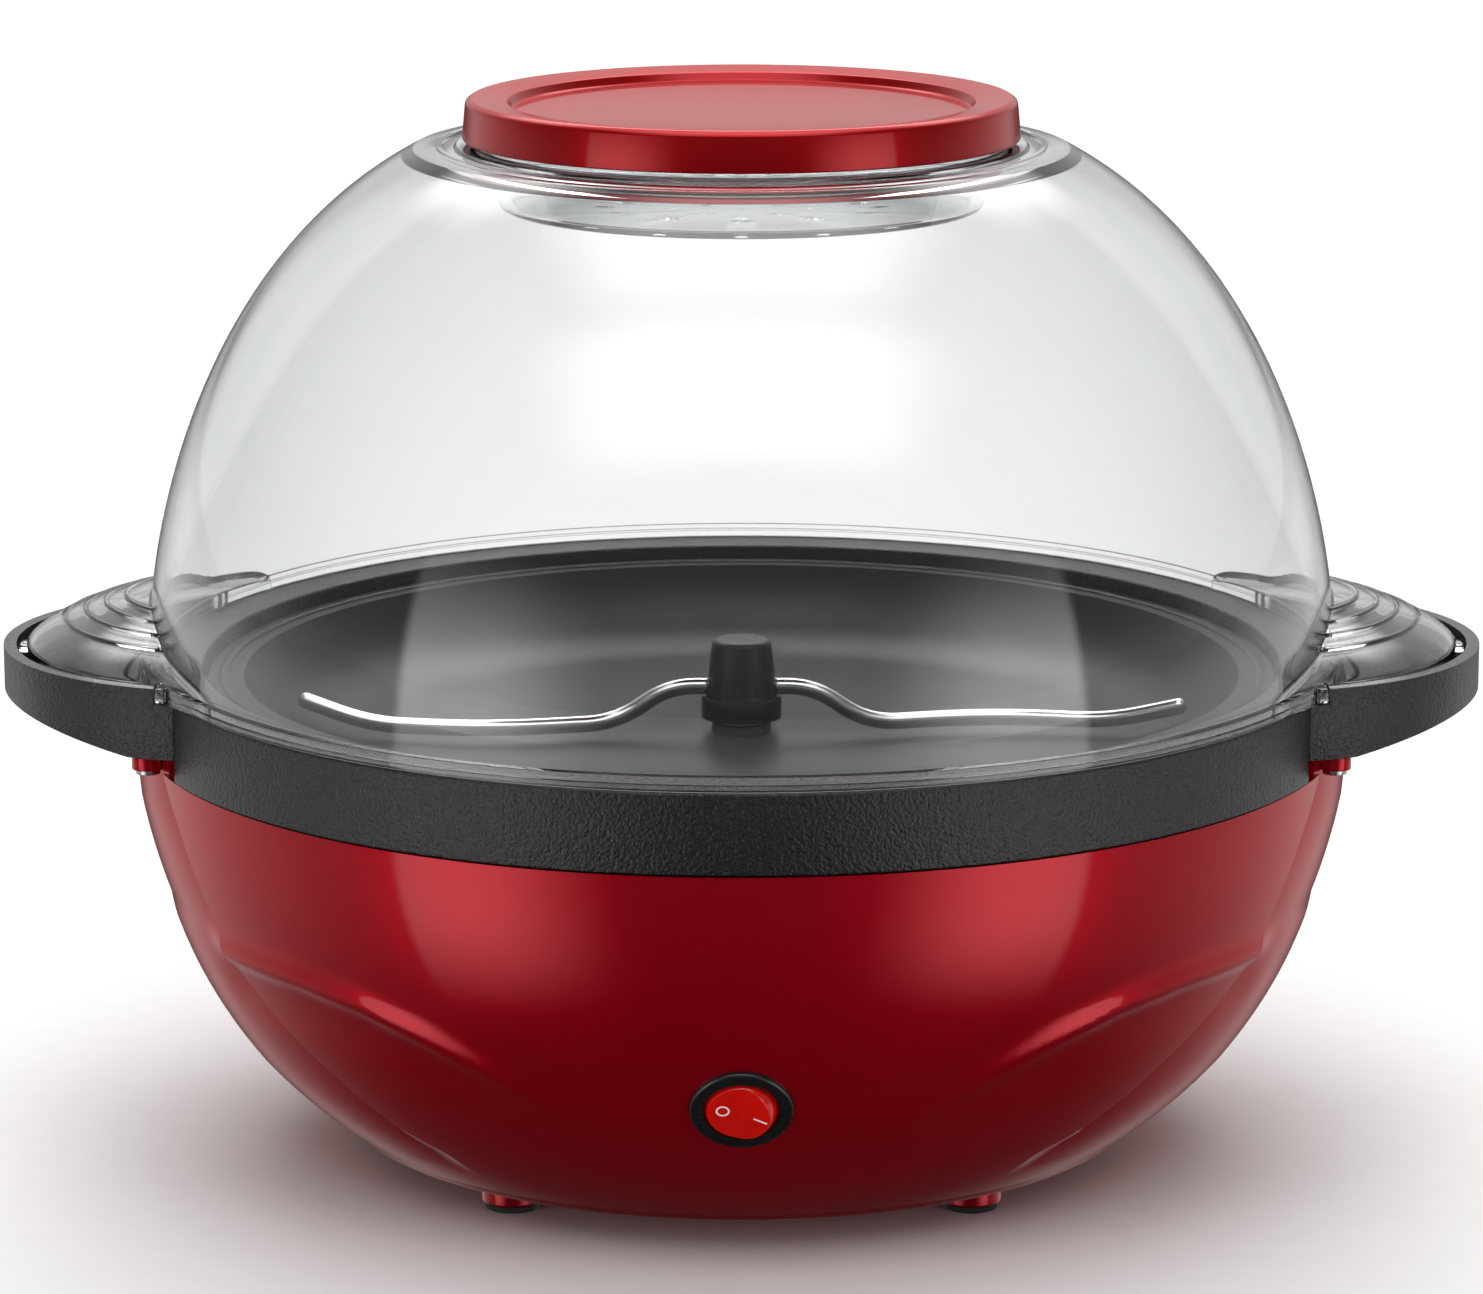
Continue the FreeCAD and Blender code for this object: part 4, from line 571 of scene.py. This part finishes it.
def make_panel_top():
    """The top of a side panel under the handle, with a lug under each end of the handle."""
    half_angle = math.degrees(math.asin(PANEL_HALF / PANEL_R))
    outline = rounded([(136.8, 98.0), (139.6, 98.0, 0.3), (PANEL_R - 0.4, 100.6, 0.6),
                       (PANEL_R - 0.2, PANEL_TOP, 0.4), (136.8, PANEL_TOP, 0.3)], 3)
    panel = turned("panel", outline, steps=40, sweep=2 * half_angle)
    edit(panel)
    bpy.ops.mesh.select_all(action="SELECT")
    bpy.ops.transform.rotate(value=-math.radians(half_angle), orient_axis="Z", center_override=(0, 0, 0))
    for end in (1, -1):
        pick(panel, lambda c, e: len(e.link_faces) == 1 and c.y * end > 0, "EDGE")
        bpy.ops.mesh.edge_face_add()
    bpy.ops.mesh.select_all(action="SELECT")
    bpy.ops.mesh.normals_make_consistent(inside=False)
    bpy.ops.object.mode_set(mode="OBJECT")
    parts = [panel]
    for y in (-LUG_Y, LUG_Y):
        lug = drum("lug", LUG_R, 100.4, PANEL_TOP, (LUG_X, y), 40)
        edit(lug)
        pick(lug, lambda c, n: n.z < -0.9)
        bpy.ops.mesh.inset(thickness=1.1 * MM)
        bpy.ops.transform.translate(value=(0, 0, 0.9 * MM))
        bpy.ops.object.mode_set(mode="OBJECT")
        round_edges(lug, 0.35, 2)
        parts.append(lug)
    return joined("panel_top_right", parts)


panel_right = finish_shape(make_panel_top())
panel_left = twin(panel_right, "panel_top_left")
for panel in (panel_right, panel_left):
    dress(panel, red_abs)
    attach(panel, "base")


# ------------------------------------------------------------------ black collar and handle trays
def make_collar():
    """The turned collar with its deck and ledge, slotted where the side panels rise into it."""
    outline = rounded([
        (COLLAR_R, SKIRT_LOW, 0.7), (COLLAR_R, DECK, 0.8), (COLLAR_BORE, DECK, 0.8), (COLLAR_BORE, LEDGE_TOP, 0.3),
        (LEDGE_R, LEDGE_TOP, 0.5), (LEDGE_R, 108.5, 0.5), (130.0, 108.5, 0.5), (130.0, 114.0, 0.5),
        (139.5, 114.0, 0.5), (139.5, SKIRT_LOW, 0.4)], 4)
    collar = turned("black_collar", outline, steps=224)
    for side in (-1, 1):
        low_x, high_x = sorted((side * 120.0, side * 160.0))
        cut_away(collar, brick("slot_tool", (low_x, -57.4, 90.0), (high_x, 57.4, PANEL_TOP)))
    return collar


collar = finish_shape(make_collar())
dress(collar, black_grain)
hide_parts("collar_ring")
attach(collar, "base")


def make_tray():
    """An oval drum, hollowed from above and below, sloped underneath and fitted to the collar."""
    tray = drum("tray", 1.0, PANEL_TOP, HANDLE_TOP, (0, 0), 192)
    edit(tray)
    bpy.ops.mesh.select_all(action="SELECT")
    bpy.ops.transform.resize(value=(HANDLE_A, HANDLE_B, 1), center_override=(0, 0, 0))
    bpy.ops.transform.translate(value=(HANDLE_CX * MM, 0, 0))
    pick(tray, lambda c, n: n.z > 0.9)
    bpy.ops.mesh.inset(thickness=HANDLE_WALL * MM, use_even_offset=True)
    bpy.ops.mesh.extrude_region_move(TRANSFORM_OT_translate={"value": (0, 0, (TRAY_FLOOR - HANDLE_TOP) * MM)})
    bpy.ops.mesh.inset(thickness=1.6 * MM, use_even_offset=True)
    bpy.ops.transform.translate(value=(0, 0, -0.7 * MM))
    pick(tray, lambda c, n: n.z < -0.9)
    bpy.ops.mesh.inset(thickness=HANDLE_WALL * MM, use_even_offset=True)
    bpy.ops.mesh.extrude_region_move(TRANSFORM_OT_translate={"value": (0, 0, (TRAY_FLOOR - 3.2 - PANEL_TOP) * MM)})
    bpy.ops.object.mode_set(mode="OBJECT")
    wedge = brick("slope_tool", (141.0, -80, PANEL_TOP - 20.0), (200.0, 80, PANEL_TOP))
    edit(wedge)
    pick(wedge, lambda c, n: c.z > PANEL_TOP - 0.1 and c.x > 190, "VERT")
    bpy.ops.transform.translate(value=(0, 0, 11.1 * MM))
    bpy.ops.object.mode_set(mode="OBJECT")
    cut_away(tray, wedge)
    cut_away(tray, drum("collar_tool", COLLAR_R + 0.02, 60, 160, (0, 0), 224))
    for y in (-1, 1):
        low_y, high_y = sorted((y * 30.0, y * 80.0))
        cut_away(tray, brick("notch_tool", (118.0, low_y, DECK - 0.3), (134.5, high_y, 140.0)))
    crescent = drum("crescent_tool", 149.0, TRAY_FLOOR - 2.0, TRAY_FLOOR + 0.5, (0, 0), 192)
    bound = drum("bound_tool", 42.0, TRAY_FLOOR - 2.5, TRAY_FLOOR + 1.0, (HANDLE_CX + 4, 0), 128)
    cut_away(crescent, bound, "INTERSECT")
    cut_away(tray, crescent)
    return tray


tray_right = make_tray()
round_edges(tray_right, 0.9, 3, 40)
tray_right.name = tray_right.data.name = "tray_right"
finish_shape(tray_right, 40)
tray_left = twin(tray_right, "tray_left")
for tray, node_name in ((tray_right, "handle_right"), (tray_left, "handle_left")):
    dress(tray, black_grain)
    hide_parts(node_name)
    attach(tray, "base")


# ------------------------------------------------------------------ plate and stirrer
def make_plate():
    """The dished plate: a spout round the shaft, a flat floor, a curved rise and a beaded rim."""
    arc = []
    radius, centre_z = 34.18, 130.18
    for i in range(15):
        a = math.radians(61.3 * i / 14)
        arc.append((88 + radius * math.sin(a), centre_z - radius * math.cos(a)))
    under = [(88 + (radius + 1.8) * math.sin(a), centre_z - (radius + 1.8) * math.cos(a))
             for a in (math.radians(59.5 * i / 8) for i in range(8, -1, -1))]
    outline = rounded([(5.2, 100.0, 0.2), (7.0, 100.0, 0.6), (7.3, 96.0, 1.6)], 4) + [(30, 96.0), (60, 96.0)]
    outline += arc + rounded([(121.5, 113.8, 0.4), (122.2, 114.2, 0.4), (123.4, 114.2, 0.4), (124.1, 113.8, 0.4),
                              (126.5, 113.8, 0.4), (126.5, 112.0, 0.2)], 3)
    outline += under + [(5.2, 94.2)]
    return turned("popping_pan", outline, steps=192)


plate = finish_shape(make_plate(), 50)
dress(plate, nonstick)
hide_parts("popping_plate")
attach(plate, "base")

for node_name, name, width, body, finish, slot_name in (
        ("stir_hub", "stirrer_knob", 0.35, "stirrer", hub_phenolic, "hub_plastic"),
        ("stir_rod", "stirrer_rod", 0.0, "stirrer", bright_steel, "bright_rod"),
        ("drive_shaft", "motor_shaft", 0.15, "drive", bright_steel, "steel"),
        ("inlet_bush", "cord_bush", 0.25, "base", black_rubber, "rubber_black"),
        ("foot_pads", "foot_pad_set", 0.35, "base", black_rubber, "rubber_black"),
        ("bottom_cover", "vented_cover", 0.25, "base", black_abs, "black_plain"),
        ("cover_screws", "cover_screw_set", 0.15, "base", steel, "steel"),
        ("handle_screws", "handle_screw_set", 0.15, "base", steel, "steel")):
    piece = refined(node_name, name, width)
    dress(piece, finish)
    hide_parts(node_name)
    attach(piece, body)


# ------------------------------------------------------------------ clear dome
def make_dome_shell():
    """The turned dome in one wall with its flange, beaded shoulder, neck and butter well."""
    outer = [(dome_radius(z), z) for z in
             [120.6 + (DOME_TOP - 0.9 - 120.6) * math.sin(math.pi / 2 * i / 56) for i in range(57)]]
    inner = []
    for i in range(44, -1, -1):
        z = 120.6 + (DOME_TOP - 2.4 - 120.6) * math.sin(math.pi / 2 * i / 44)
        slope = (dome_radius(z + 0.05) - dome_radius(z - 0.05)) / 0.1
        size = math.hypot(1, slope)
        inner.append((dome_radius(z) - DOME_WALL / size, z + DOME_WALL * slope / size))
    inner = [p for p in inner if p[0] > 66 and p[1] > 117.6]
    flange = rounded([
        (138.1, DECK), (141.7, DECK, 0.3), (141.7, 118.5, 0.2), (141.2, 118.6), (141.2, 119.0), (141.5, 119.1),
        (141.5, 120.4, 0.4), (140.35, 120.4)], 3)
    shoulder = rounded([
        (72.0, 238.55, 0.3), (70.0, DOME_TOP, 0.4), (69.3, 237.9, 0.3), (67.2, 237.9, 0.3), (66.6, DOME_TOP, 0.3),
        (64.2, DOME_TOP, 0.4), (62.5, DOME_TOP, 0.5), (62.5, 240.8, 0.2), (63.0, 241.2, 0.2), (63.0, 242.0, 0.2),
        (62.5, 242.4, 0.2), (62.5, 247.0, 0.4), (60.3, 247.0, 0.4), (60.3, 237.6, 1.5), (53.8, 225.5, 1.8),
        (0, 225.5)], 3)
    under = rounded([(0, 223.5), (56.0, 223.5, 2.4), (62.5, 236.0, 1.2), (66.0, 236.4)], 3)
    outline = flange[:-1] + [p for p in outer if p[0] > 72.5] + shoulder + under + inner
    return turned("dome_shell", outline, steps=200)


dome = finish_shape(make_dome_shell(), 30)
drills = []
for ring, count in ((0, 1), (16, 6), (32, 12)):
    for k in range(count):
        a = 2 * math.pi * k / count
        drills.append(drum("drill", 2.2, 222.0, 227.0, (ring * math.cos(a), ring * math.sin(a)), 20))
cut_away(dome, joined("drills", drills))
finish_shape(dome, 30)
dress(dome, clear_pc)
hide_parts("dome_cover")
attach(dome, "dome")

HOOD_C = 118.0
HOOD_FOOT = [(169.6, 0.0), (169.2, 6.0), (167.9, 13.0), (165.6, 20.5), (162.0, 28.0), (157.4, 35.0),
             (151.6, 41.2), (145.0, 46.0), (138.5, 49.4), (134.3, 52.6), (131.0, 58.0), (127.0, 64.0),
             (122.5, 69.5), (118.0, 72.5)]
HOOD_RISE, HOOD_RIBS, RIB_RISE = 15.8, (0.54, 0.635, 0.73, 0.825), 0.32


def foot_outline():
    """The hood's foot: half a loop from front to back, smoothed between the given points."""
    points = [Vector(p) for p in HOOD_FOOT]
    fine = []
    for i in range(len(points) - 1):
        p0, p1 = points[max(i - 1, 0)], points[i]
        p2, p3 = points[i + 1], points[min(i + 2, len(points) - 1)]
        if i == 0:
            p0 = Vector((p2.x, -p2.y))
        for k in range(5):
            t = k / 5
            fine.append(0.5 * ((2 * p1) + (p2 - p0) * t + (2 * p0 - 5 * p1 + 4 * p2 - p3) * t ** 2
                               + (3 * p1 - p0 - 3 * p2 + p3) * t ** 3))
    fine.append(points[-1])
    lower = [Vector((p.x, -p.y)) for p in reversed(fine[1:])]
    return lower + fine


def make_hood():
    """Rings of the foot outline, shrunk and lifted one by one into a low ribbed hood, trimmed to the dome."""
    foot = foot_outline()
    loop = foot + [Vector((100.0, 72.5)), Vector((80.0, 72.5)), Vector((80.0, -72.5)), Vector((100.0, -72.5))]
    calm()
    bpy.ops.mesh.primitive_circle_add(vertices=len(loop), radius=0.1, fill_type="NGON")
    hood = named("hood")
    for vert, place in zip(hood.data.vertices, loop):
        vert.co = (place.x * MM, place.y * MM, DECK * MM)
    bpy.ops.object.mode_set(mode="EDIT")
    bpy.ops.mesh.select_mode(type="VERT")
    bpy.ops.mesh.select_all(action="SELECT")
    shares = [1.0, 0.999, 0.996, 0.990, 0.983] + [0.975 - 0.0085 * i for i in range(68)] + [0.36, 0.28, 0.18]
    last_share, last_z = 1.0, DECK
    for i, share in enumerate(shares):
        if i == 0:
            z = 119.6
        else:
            z = 120.2 + HOOD_RISE * (1 - share ** 1.5) ** (1 / 1.5)
            for rib in HOOD_RIBS:
                z += RIB_RISE * math.exp(-((share - rib) / 0.0075) ** 2)
        bpy.ops.mesh.extrude_region_move(TRANSFORM_OT_translate={"value": (0, 0, (z - last_z) * MM)})
        ratio = share / last_share
        bpy.ops.transform.resize(value=(ratio, ratio, 1), center_override=(HOOD_C * MM, 0, 0))
        last_share, last_z = share, z
    bpy.ops.mesh.select_all(action="DESELECT")
    bpy.ops.mesh.select_non_manifold()
    bpy.ops.mesh.edge_face_add()
    bpy.ops.mesh.select_all(action="SELECT")
    bpy.ops.mesh.normals_make_consistent(inside=False)
    bpy.ops.object.mode_set(mode="OBJECT")
    inside = [(0, 100.0)] + [(dome_radius(z) - 1.1, z) for z in range(100, 165, 4)] + [(0, 164.0)]
    cut_away(hood, turned("dome_tool", inside, steps=200))
    edit(hood)
    pick(hood, lambda c, n: (n.z < -0.9 and c.z < DECK + 0.1)
         or math.hypot(c.x, c.y) < dome_radius(c.z) - 1.0 and math.hypot(n.x, n.y) > 0.9 and n.x * c.x < 0)
    bpy.ops.mesh.delete(type="FACE")
    bpy.ops.object.mode_set(mode="OBJECT")
    apply_modifier(hood, "SOLIDIFY", thickness=2.0 * MM, offset=-1)
    return hood


hood_right = make_hood()
ears = []
for sign in (-1, 1):
    low_y, high_y = sorted((sign * 50.8, sign * 55.8))
    ears.append(brick("ear", (129.6, low_y, DECK), (134.1, high_y, 120.4)))
tab = brick("tab", (168.6, -3.5, 117.4), (171.4, 3.5, 119.4))
for block in ears + [tab]:
    round_edges(block, 0.4, 2)
hood_right = joined("hood_right", [hood_right] + ears + [tab])
finish_shape(hood_right, 35)
hood_left = twin(hood_right, "hood_left")
for hood in (hood_right, hood_left):
    dress(hood, clear_pc)
    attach(hood, "dome")


# ------------------------------------------------------------------ cap
cap = turned("red_cap", rounded([
    (0, 246.5), (53.6, 246.5, 1.2), (54.6, 248.5, 0.5), (62.9, 249.5, 1.4), (64.4, 248.6, 1.2),
    (65.2, 240.0, 0.4), (63.2, 240.0, 0.3),
    (63.2, 247.0), (59.6, 247.0), (59.6, 242.0, 0.4), (57.6, 242.0, 0.4), (57.6, 244.5), (0, 244.5)], 4), steps=192)
finish_shape(cap, 40)
dress(cap, cap_abs)
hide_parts("top_cap")
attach(cap, "cap")


# ------------------------------------------------------------------ rocker switch
bezel = refined("switch_body", "switch_bezel", 0.3, 40)
dress(bezel, black_nylon)
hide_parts("switch_body")
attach(bezel, "base")
rocker = refined("switch_rocker", "rocker_button", 0.35, 30)
dress(rocker, rocker_pc)
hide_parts("switch_rocker")
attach(rocker, "rocker")

SWITCH_Z, SWITCH_TURN = 41.8, math.radians(-11)
wall_slope = (bowl_radius(SWITCH_Z + 0.01) - bowl_radius(SWITCH_Z - 0.01)) / 0.02
face_out = Vector((0, -1, -wall_slope)).normalized()
face_up = face_out.cross(Vector((1, 0, 0)))
face_x = math.cos(SWITCH_TURN) * Vector((1, 0, 0)) + math.sin(SWITCH_TURN) * face_up
face_y = -math.sin(SWITCH_TURN) * Vector((1, 0, 0)) + math.cos(SWITCH_TURN) * face_up
face_at = Vector((0, -bowl_radius(SWITCH_Z), SWITCH_Z))


def print_mark(name, across, outline):
    """Lays a flat mark, given by rings of (x, y) points in millimetres, on the rocker's face."""
    calm()
    count = len(outline[0])
    bpy.ops.mesh.primitive_circle_add(vertices=count, radius=MM)
    mark = named(name)
    bpy.ops.object.mode_set(mode="EDIT")
    bpy.ops.mesh.select_mode(type="VERT")
    bpy.ops.mesh.select_all(action="SELECT")
    if len(outline) == 1:
        bpy.ops.mesh.edge_face_add()
    else:
        bpy.ops.mesh.extrude_region_move()
    bpy.ops.object.mode_set(mode="OBJECT")
    for i, vert in enumerate(mark.data.vertices):
        x, y = outline[i // count][i % count]
        start = (face_at + face_x * (x + across) + face_y * y + face_out * 12) * MM
        place = rocker.ray_cast(start, -face_out)[1]
        vert.co = place + face_out * 0.07 * MM
    apply_modifier(mark, "SOLIDIFY", thickness=0.06 * MM, offset=0)
    finish_shape(mark)
    dress(mark, mark_ink)
    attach(mark, "rocker")
    return mark


def ring_points(radius, count=28):
    """Points round a circle."""
    turns = [2 * math.pi * i / count for i in range(count)]
    return [(radius * math.cos(a), radius * math.sin(a)) for a in turns]


print_mark("mark_off", -4.2, [ring_points(1.55), ring_points(1.15)])
print_mark("mark_on", 4.2, [[(-1.5, -0.22), (-0.5, -0.22), (0.5, -0.22), (1.5, -0.22),
                            (1.5, 0.22), (0.5, 0.22), (-0.5, 0.22), (-1.5, 0.22)]])


# ------------------------------------------------------------------ floor, lights and camera
calm()
bpy.ops.mesh.primitive_plane_add(size=30, location=(0, 0, 0))
floor = named("studio_floor")
dress(floor, moulded_plastic("matt_white_paper", "#F4F4F4", "#F8F8F8", 0.9, 2.0, depth=0.0))
floor.visible_glossy = False     # gloss sees the dim air below the table instead of the white floor

world = bpy.data.worlds.new("studio_air")
bpy.context.scene.world = world
world.use_nodes = True
sky = world.node_tree
sky_way = add_node(sky, "ShaderNodeTexCoord")
sky_split = add_node(sky, "ShaderNodeSeparateXYZ", links={"Vector": (sky_way, "Generated")})
# dim in front of the machine; above the table the glow grows towards the back, and below it the sides glow
sky_back = add_node(sky, "ShaderNodeMapRange", {"From Min": 0.0, "From Max": 0.9, "To Min": 0.16, "To Max": 0.72},
                    {"Value": (sky_split, "Y")}, interpolation_type="SMOOTHSTEP")
sky_near = add_node(sky, "ShaderNodeMapRange", {"From Min": -0.75, "From Max": 0.78, "To Min": 0.12, "To Max": 0.95},
                    {"Value": (sky_split, "Y")}, interpolation_type="SMOOTHSTEP")
sky_far = add_node(sky, "ShaderNodeMapRange", {"From Min": 0.78, "From Max": 0.95, "To Min": 1.0, "To Max": 0.08},
                   {"Value": (sky_split, "Y")}, interpolation_type="SMOOTHSTEP")
sky_side = add_node(sky, "ShaderNodeMath", links={0: (sky_near, "Result"), 1: (sky_far, "Result")},
                    operation="MULTIPLY")
sky_deep = add_node(sky, "ShaderNodeMapRange", {"From Min": -0.8, "From Max": -0.25, "To Min": 0.06, "To Max": 1.0},
                    {"Value": (sky_split, "Z")}, interpolation_type="SMOOTHSTEP")
sky_low = add_node(sky, "ShaderNodeMath", links={0: (sky_side, "Value"), 1: (sky_deep, "Result")},
                   operation="MULTIPLY")
sky_rise = add_node(sky, "ShaderNodeMapRange", {"From Min": -0.12, "From Max": 0.14},
                    {"Value": (sky_split, "Z")}, interpolation_type="SMOOTHSTEP")
sky_glow = add_node(sky, "ShaderNodeMix",
                    links={"Factor": (sky_rise, "Result"), "A": (sky_low, "Value"), "B": (sky_back, "Result")})
sky.nodes["Background"].inputs["Color"].default_value = hex_colour("#FFFFFF")
sky.links.new(sky_glow.outputs["Result"], sky.nodes["Background"].inputs["Strength"])


def soft_box(name, place, aim, size, power, inner=None):
    """An area light whose glow fades towards its edges; inner is the side (0 or 1) with the longer fade."""
    calm()
    bpy.ops.object.light_add(type="AREA", location=place)
    lamp = bpy.context.object
    lamp.name = name
    lamp.data.shape = "RECTANGLE"
    lamp.data.size, lamp.data.size_y = size
    lamp.data.energy = power
    lamp.rotation_euler = (Vector(aim) - Vector(place)).to_track_quat("-Z", "Y").to_euler()
    lamp.data.use_nodes = True
    tree = lamp.data.node_tree
    tree.nodes.clear()
    face = add_node(tree, "ShaderNodeNewGeometry")
    split = add_node(tree, "ShaderNodeSeparateXYZ", links={"Vector": (face, "Parametric")})
    reach = {0: ((0.0, 0.62), (1.0, 0.93)), 1: ((0.0, 0.07), (1.0, 0.38)), None: ((0.0, 0.35), (1.0, 0.65))}
    glow = None
    for axis, side in (("X", inner), ("Y", None)):
        for start, full in reach[side]:
            fade = add_node(tree, "ShaderNodeMapRange", {"From Min": start, "From Max": full},
                            {"Value": (split, axis)}, interpolation_type="SMOOTHSTEP")
            if glow:
                fade = add_node(tree, "ShaderNodeMath", links={0: glow, 1: (fade, "Result")}, operation="MULTIPLY")
            glow = (fade, 0)
    bulb = add_node(tree, "ShaderNodeEmission", links={"Strength": glow})
    add_node(tree, "ShaderNodeOutputLight", links={"Surface": (bulb, "Emission")})


# the side boxes reach below the table, so that their reflections run down the bowl
soft_box("left_box", (-0.85, -0.88, -0.15), (0, 0, 0.06), (1.0, 1.7), 13, 1)
soft_box("right_box", (0.85, -0.88, -0.15), (0, 0, 0.06), (1.0, 1.7), 13, 0)
soft_box("back_box", (0, 2.6, 2.6), (0, 1.8, 0), (4.5, 2.5), 170)
soft_box("top_box", (0, 0.1, 1.7), (0, 0, 0.12), (1.8, 1.4), 24)
soft_box("front_box", (0, -1.5, 2.4), (0, -0.6, 0), (4.6, 2.4), 85)

ELEVATION, DISTANCE, AIM = math.radians(12.4), 1.4, Vector((0, 0, 0.118))
LENS, SENSOR = 142.9, 36.0
eye = AIM + Vector((0, -math.cos(ELEVATION), math.sin(ELEVATION))) * DISTANCE
camera_data = bpy.data.cameras.new("front_camera")
camera = bpy.data.objects.new("front_camera", camera_data)
bpy.context.scene.collection.objects.link(camera)
camera.location = eye
camera.rotation_euler = (AIM - eye).to_track_quat("-Z", "Y").to_euler()
camera_data.sensor_width = SENSOR
camera_data.lens = LENS
camera_data.clip_end = 100.0
bpy.context.scene.camera = camera
bpy.context.scene.view_settings.view_transform = "Standard"
